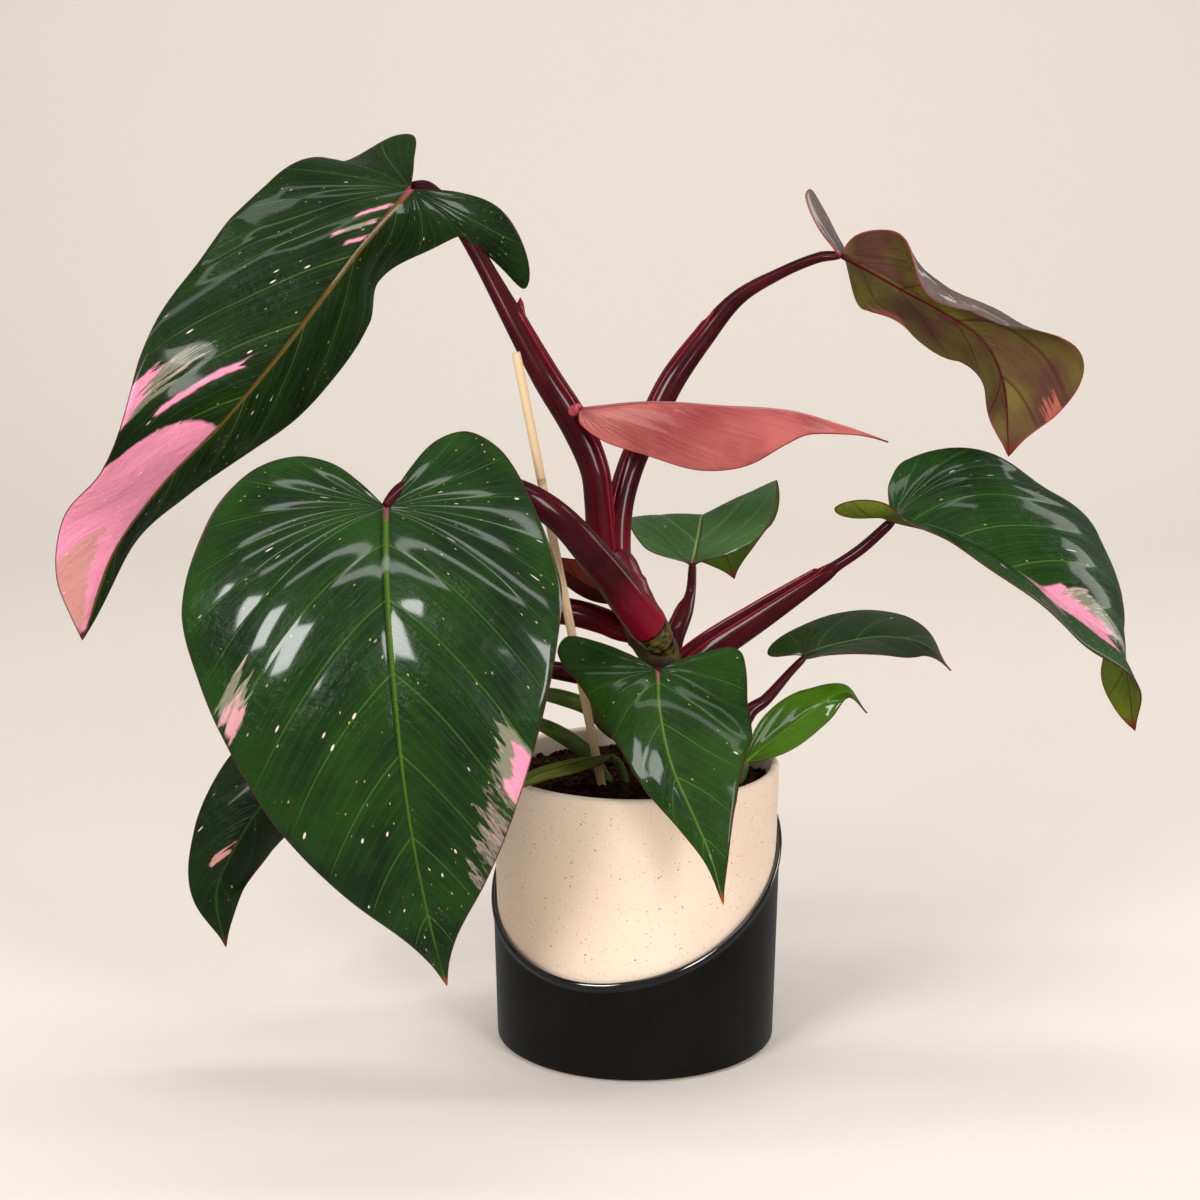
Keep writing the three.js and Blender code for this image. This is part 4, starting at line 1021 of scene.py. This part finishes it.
def arc(cx, cz, radius, start, end, steps):
    """Points of a profile's arc, between two angles in degrees."""
    return [(cx + radius * math.cos(math.radians(a)), cz + radius * math.sin(math.radians(a)))
            for a in np.linspace(start, end, steps)]


def pot_piece(segments, material):
    """The turned pot, with a faint unevenness from throwing."""
    lip = POT_WALL / 2
    profile = [(.5, .05), (20, .05), (BASE_RADIUS - 6, .05)]
    profile += arc(BASE_RADIUS - FOOT_ROUND, FOOT_ROUND, FOOT_ROUND, -90, 0, 7)
    profile += [(wall_radius(z), z) for z in np.linspace(8, POT_HEIGHT - lip - 3, 24)]
    profile += arc(RIM_RADIUS - lip, POT_HEIGHT - lip, lip, 0, 180, 13)
    inside = np.linspace(POT_HEIGHT - lip - 3, POT_FLOOR + 4, 12)
    profile += [(wall_radius(z) - POT_WALL, z) for z in inside]
    profile += [(BASE_RADIUS - POT_WALL - 3, POT_FLOOR), (20, POT_FLOOR), (.5, POT_FLOOR)]
    points = []
    for radius, z in profile:
        for k in range(segments):
            angle = 2 * math.pi * k / segments
            throw = .12 * math.sin(2 * angle + z * .02) + .05 * math.sin(z * .9)
            reach = radius + (throw if 5 < z < POT_HEIGHT - 5 and radius > 50 else 0)
            points.append((reach * math.cos(angle), reach * math.sin(angle), z))
    faces = lathe_faces(len(profile), segments)
    faces.append(tuple(range(segments))[::-1])
    start = (len(profile) - 1) * segments
    faces.append(tuple(start + k for k in range(segments)))
    return new_object("stoneware_pot", points, faces, [material])


def dip_top(angle):
    """Height of the dip's slanted edge round the wall, with the small wander of a dipped line."""
    x, y = RIM_RADIUS * math.cos(angle), RIM_RADIUS * math.sin(angle)
    wander = .25 * math.sin(3 * angle + 1) + .15 * math.sin(7 * angle)
    return DIP_CENTRE_HEIGHT + DIP_SLOPE_X * x + DIP_SLOPE_Y * y + wander


def glaze_piece(segments, materials):
    """The dip as a closed skin with a shinier rolled upper edge and a soft lower one."""
    wall_steps, bead = 22, DIP_THICKNESS / 2
    points, rings = [], 0
    for k in range(segments):
        angle = 2 * math.pi * k / segments
        top = dip_top(angle)
        ring = [(GAP, DIP_LOW + 1.2)] + [(GAP + x, z) for x, z in
                                         arc(bead, DIP_LOW + bead + .3, bead, -110, 0, 6)]
        ring += [(GAP + DIP_THICKNESS, z) for z in np.linspace(DIP_LOW + 3, top - 4.4, wall_steps)]
        ring += [(GAP + EDGE_ROLL * (1 + math.cos(a)), top + 1.5 * EDGE_ROLL * (math.sin(a) - 1))
                 for a in np.radians(np.linspace(-55, 175, 14))]
        ring += [(GAP, z) for z in np.linspace(top - 4, DIP_LOW + 3, 8)]
        rings = len(ring)
        bead_first, bead_last = wall_steps + 6, rings - 9
        for offset, z in ring:
            reach = wall_radius(z) + offset
            points.append((reach * math.cos(angle), reach * math.sin(angle), z))
    faces, slots = [], []
    for k in range(segments):
        n = (k + 1) % segments
        for i in range(rings):
            j = (i + 1) % rings
            faces.append((k * rings + i, n * rings + i, n * rings + j, k * rings + j))
            slots.append(1 if bead_first <= i <= bead_last else 0)
    return new_object("black_dip", points, faces, materials, slots)


def soil_surface(rings, segments):
    """The lumpy top of the soil as rings round a middle point, with a fall at the wall."""
    top_radius = wall_radius(SOIL_LEVEL) - POT_WALL - 2 * GAP
    points = [(0, 0, SOIL_LEVEL)]
    for i in range(1, rings + 1):
        for k in range(segments):
            angle = 2 * math.pi * k / segments
            radius = top_radius * i / rings
            x, y = radius * math.cos(angle), radius * math.sin(angle)
            lump = noise.fractal(Vector((x * .09, y * .09, 3.0)), 1.0, 2.0, 4) * 2.2
            grit = noise.noise(Vector((x * .8, y * .8, 9.0))) * .7
            fall = -1.4 * max(0, (i / rings - .9) * 10)
            points.append((x, y, SOIL_LEVEL + lump + grit + fall))
    faces = [(0, 1 + k, 1 + (k + 1) % segments) for k in range(segments)]
    for i in range(rings - 1):
        a = 1 + i * segments
        for k in range(segments):
            n = (k + 1) % segments
            faces.append((a + k, a + segments + k, a + segments + n, a + n))
    return points, faces


def soil_piece(material, crumb_material):
    """The plug of soil and the crumbs that lie on it."""
    rings, segments = 48, 120
    points, faces = soil_surface(rings, segments)
    start = 1 + (rings - 1) * segments
    low = len(points)
    bottom_radius = BASE_RADIUS - POT_WALL - 2.6
    for k in range(segments):
        angle = 2 * math.pi * k / segments
        points.append((bottom_radius * math.cos(angle), bottom_radius * math.sin(angle), POT_FLOOR + .6))
    for k in range(segments):
        n = (k + 1) % segments
        faces.append((start + k, low + k, low + n, start + n))
    faces.append(tuple(low + k for k in range(segments))[::-1])
    piece = new_object("potting_soil", points, faces, [material])
    top_points, top_faces = soil_surface(rings - 3, segments)
    bed = new_object("crumb_bed", top_points, top_faces, [])
    crumbs = grown("soil_crumbs", bed, crumb_tree(), Finish=crumb_material, **CRUMBS)
    return piece, crumbs


def stake_piece(material, tree):
    """The bamboo cane with its slight nodes, from its cut top down into the soil."""
    top, foot = np.array(STAKE_TOP), np.array(STAKE_FOOT)
    along = unit(foot - top)
    buried = foot + along * STAKE_DEPTH
    share = np.linspace(0, 1, PATH_STEPS + 1)
    path = top + (buried - top) * share[:, None]
    swell = 1 + .07 * sum(np.exp(-((share - level) / .006) ** 2) for level in CANE_NODES)
    radius = STAKE_RADIUS * swell * np.where(share < .005, .9, 1)
    piece = grown("bamboo_cane", stalk_line("stake_path", path, radius), tree, Sides=20, Finish=material)
    points = np.array([v.co for v in piece.data.vertices]) / MM
    length = np.linalg.norm(buried - top)
    run = ((points - top) @ along) / length
    side = unit(points - (top + along * (run * length)[:, None]))
    give_vectors(piece.data, "stalk", np.stack([run, side[:, 0], side[:, 1]], -1))
    return piece


# ---- settings, operators and panel

class PotSettings(bpy.types.PropertyGroup):
    segments: bpy.props.IntProperty(name="Segments", description="Facets round the pot", default=160, min=32)


class SoilSettings(bpy.types.PropertyGroup):
    deep: bpy.props.StringProperty(
        name="Deep Colour", description="Damp soil colour code", default="#0c0604")
    light: bpy.props.StringProperty(
        name="Light Colour", description="Dry crumb colour code", default="#2c1810")


class StalkSettings(bpy.types.PropertyGroup):
    deep: bpy.props.StringProperty(
        name="Deep Colour", description="Stalk colour in shade", default="#220408")
    light: bpy.props.StringProperty(
        name="Light Colour", description="Stalk colour in light", default="#510c1a")
    bright: bpy.props.StringProperty(
        name="Edge Colour", description="Colour of the sheath's edges", default="#9c1228")


class StageSettings(bpy.types.PropertyGroup):
    lens: bpy.props.FloatProperty(name="Lens", description="Focal length", default=75, unit="CAMERA")
    paper: bpy.props.StringProperty(
        name="Paper", description="Colour code of the backdrop", default="#e9e1d8")


class PHILODENDRON_OT_pot(bpy.types.Operator):
    """Build the stoneware pot and its black dip"""
    bl_idname = "philodendron.pot"
    bl_label = "Pot"

    def execute(self, context):
        segments = context.scene.philodendron_pot.segments
        seat(pot_piece(segments, stoneware_material()), "stoneware", "pot")
        finishes = [glaze_material("black_glaze", .4, .3), glaze_material("pooled_glaze", 1, .9)]
        seat(glaze_piece(segments, finishes), "dip", "dip_glaze")
        return {"FINISHED"}


class PHILODENDRON_OT_soil(bpy.types.Operator):
    """Build the soil and strew its crumbs"""
    bl_idname = "philodendron.soil"
    bl_label = "Soil"

    def execute(self, context):
        colours = context.scene.philodendron_soil
        ground = soil_material("potting_soil", colours.deep, colours.light)
        crumb = soil_material("soil_crumb", colours.deep, colours.light)
        soil, crumbs = soil_piece(ground, crumb)
        seat(soil, "soil", "soil")
        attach(crumbs, "root")
        return {"FINISHED"}


class PHILODENDRON_OT_stalks(bpy.types.Operator):
    """Build the bamboo cane, the main stem and every stalk"""
    bl_idname = "philodendron.stalks"
    bl_label = "Stalks"

    def execute(self, context):
        colours = context.scene.philodendron_stalks
        tree = stalk_tree()
        maroon = stalk_material("maroon_stalk", colours.deep, colours.light, colours.bright)
        fresh = stalk_material("fresh_stalk", "#3f5a28", "#6f8a44", "#8a7a4a")
        pink = stalk_material("pink_stalk", "#a83a48", "#c8606a", "#c8606a")
        finishes = {name: (fresh, "stalk_fresh") for name in FRESH_STALKS}
        finishes["new_pink_petiole"] = (pink, "leaf_pink")
        scarred = stalk_material("scarred_stalk", colours.deep, colours.light, "#a01430", SCAR)
        finishes["front_petiole"] = (scarred, "stalk")
        finishes["main_stem"] = (stem_material(), "stalk")
        for name in STALKS:
            material, slot = finishes.get(name, (maroon, "stalk"))
            seat(stalk_piece(name, material, tree), slot, name)
        seat(stake_piece(bamboo_material(), tree), "bamboo", "bamboo_stake")
        return {"FINISHED"}


LEAF_SLOTS = {"upper_right": "leaf_bronze", "new_pink": "leaf_pink", "low_right": "leaf_fresh",
              "rim_left": "leaf_fresh", "dry_bract": "sheath"}


class PHILODENDRON_OT_blades(bpy.types.Operator):
    """Build every leaf blade"""
    bl_idname = "philodendron.blades"
    bl_label = "Blades"

    def execute(self, context):
        for name in LEAVES:
            materials = [leaf_material(name, is_under) for is_under in (False, True)]
            seat(blade_piece(name, materials), LEAF_SLOTS.get(name, "leaf_green"), name + "_blade")
        return {"FINISHED"}


# Name, place, aim, size, watts, tint and whether glossy surfaces mirror it.
LIGHTS = [
    ("window_left", (-1.0, -1.4, 1.0), (-.08, -.05, .2), (.62, .72), 20, (1, .995, .99), True),
    ("window_right", (.95, -1.5, .75), (0, 0, .18), (.5, .95), 15, (1, .995, .985), True),
    ("top_strip", (0, -.55, 1.7), (0, 0, .1), (2.2, .2), 6, (1, .99, .98), True),
    ("front_fill", (.3, -2.4, 1.3), (0, 0, .15), (1.8, 1.3), 9, (1, .98, .96), False),
    ("overhead", (.1, .1, 1.7), (0, .05, 0), (1.2, 1.0), 4, (1, .99, .98), False),
    ("backdrop", (0, .7, 2.6), (0, 1.9, .9), (3.0, .6), 29, (1, .99, .98), False),
    ("rim_right", (1.5, .5, .8), (0, 0, .2), (.4, .9), 5, (1, .99, .98), True),
]


class PHILODENDRON_OT_stage(bpy.types.Operator):
    """Add the camera, the pale sweep and the lights"""
    bl_idname = "philodendron.stage"
    bl_label = "Stage"

    def execute(self, context):
        settings = context.scene.philodendron_stage
        camera_data = bpy.data.cameras.new("camera")
        camera_data.lens = settings.lens
        camera_data.sensor_width = SENSOR_WIDTH
        camera = bpy.data.objects.new("camera", camera_data)
        camera.location = CAMERA_PLACE
        camera.rotation_euler = (math.radians(CAMERA_TILT), 0, math.radians(CAMERA_TURN))
        context.scene.collection.objects.link(camera)
        context.scene.camera = camera
        sweep(plain_material("paper_sweep", settings.paper, .9))
        for light in LIGHTS:
            area_light(*light)
        world = bpy.data.worlds.new("soft_room")
        context.scene.world = world
        world.use_nodes = True
        background = world.node_tree.nodes["Background"]
        background.inputs["Color"].default_value = ROOM_TINT
        background.inputs["Strength"].default_value = ROOM_STRENGTH
        context.scene.view_settings.view_transform = "Standard"
        return {"FINISHED"}


def sweep(material):
    """A floor that curves up into a backdrop; glossy leaves do not mirror it, as if flagged off."""
    profile = [(SWEEP_FRONT, 0), (-1, 0), (BEND_START, 0)]
    profile += [(BEND_START + BEND_RADIUS * math.sin(a), BEND_RADIUS - BEND_RADIUS * math.cos(a))
                for a in np.linspace(.1, math.pi / 2, 16)]
    profile += [(BEND_START + BEND_RADIUS, SWEEP_TOP)]
    points = [(x / MM, y / MM, z / MM) for y, z in profile for x in (-SWEEP_HALF, SWEEP_HALF)]
    faces = [(2 * i, 2 * i + 1, 2 * i + 3, 2 * i + 2) for i in range(len(profile) - 1)]
    floor = new_object("paper_sweep", points, faces, [material])
    floor.visible_glossy = False


def area_light(name, place, aim, size, watts, tint, is_mirrored):
    """A rectangular light at its place, turned to its aim."""
    data = bpy.data.lights.new(name, "AREA")
    data.shape = "RECTANGLE"
    data.size, data.size_y = size
    data.energy = watts
    data.color = tint
    light = bpy.data.objects.new(name, data)
    light.location = place
    light.visible_glossy = is_mirrored
    light.rotation_euler = (Vector(aim) - Vector(place)).to_track_quat("-Z", "Y").to_euler()
    bpy.context.scene.collection.objects.link(light)


class PHILODENDRON_PT_panel(bpy.types.Panel):
    """Lists the steps that build the plant"""
    bl_label = "Potted Philodendron"
    bl_idname = "PHILODENDRON_PT_panel"
    bl_space_type = "VIEW_3D"
    bl_region_type = "UI"
    bl_category = "Philodendron"

    def draw(self, context):
        for step in STEPS:
            self.layout.operator(step.bl_idname)


STEPS = (PHILODENDRON_OT_stage, PHILODENDRON_OT_pot, PHILODENDRON_OT_soil, PHILODENDRON_OT_stalks,
         PHILODENDRON_OT_blades)
SETTINGS = {"philodendron_pot": PotSettings, "philodendron_soil": SoilSettings,
            "philodendron_stalks": StalkSettings, "philodendron_stage": StageSettings}


def register():
    for kind in (*SETTINGS.values(), *STEPS, PHILODENDRON_PT_panel):
        bpy.utils.register_class(kind)
    for name, kind in SETTINGS.items():
        setattr(bpy.types.Scene, name, bpy.props.PointerProperty(type=kind))


def unregister():
    for name in SETTINGS:
        delattr(bpy.types.Scene, name)
    for kind in (PHILODENDRON_PT_panel, *reversed(STEPS), *SETTINGS.values()):
        bpy.utils.unregister_class(kind)


def main():
    register()
    bpy.ops.philodendron.stage()
    bpy.ops.philodendron.pot()
    bpy.ops.philodendron.soil()
    bpy.ops.philodendron.stalks()
    bpy.ops.philodendron.blades()


if __name__ == "__main__":
    main()
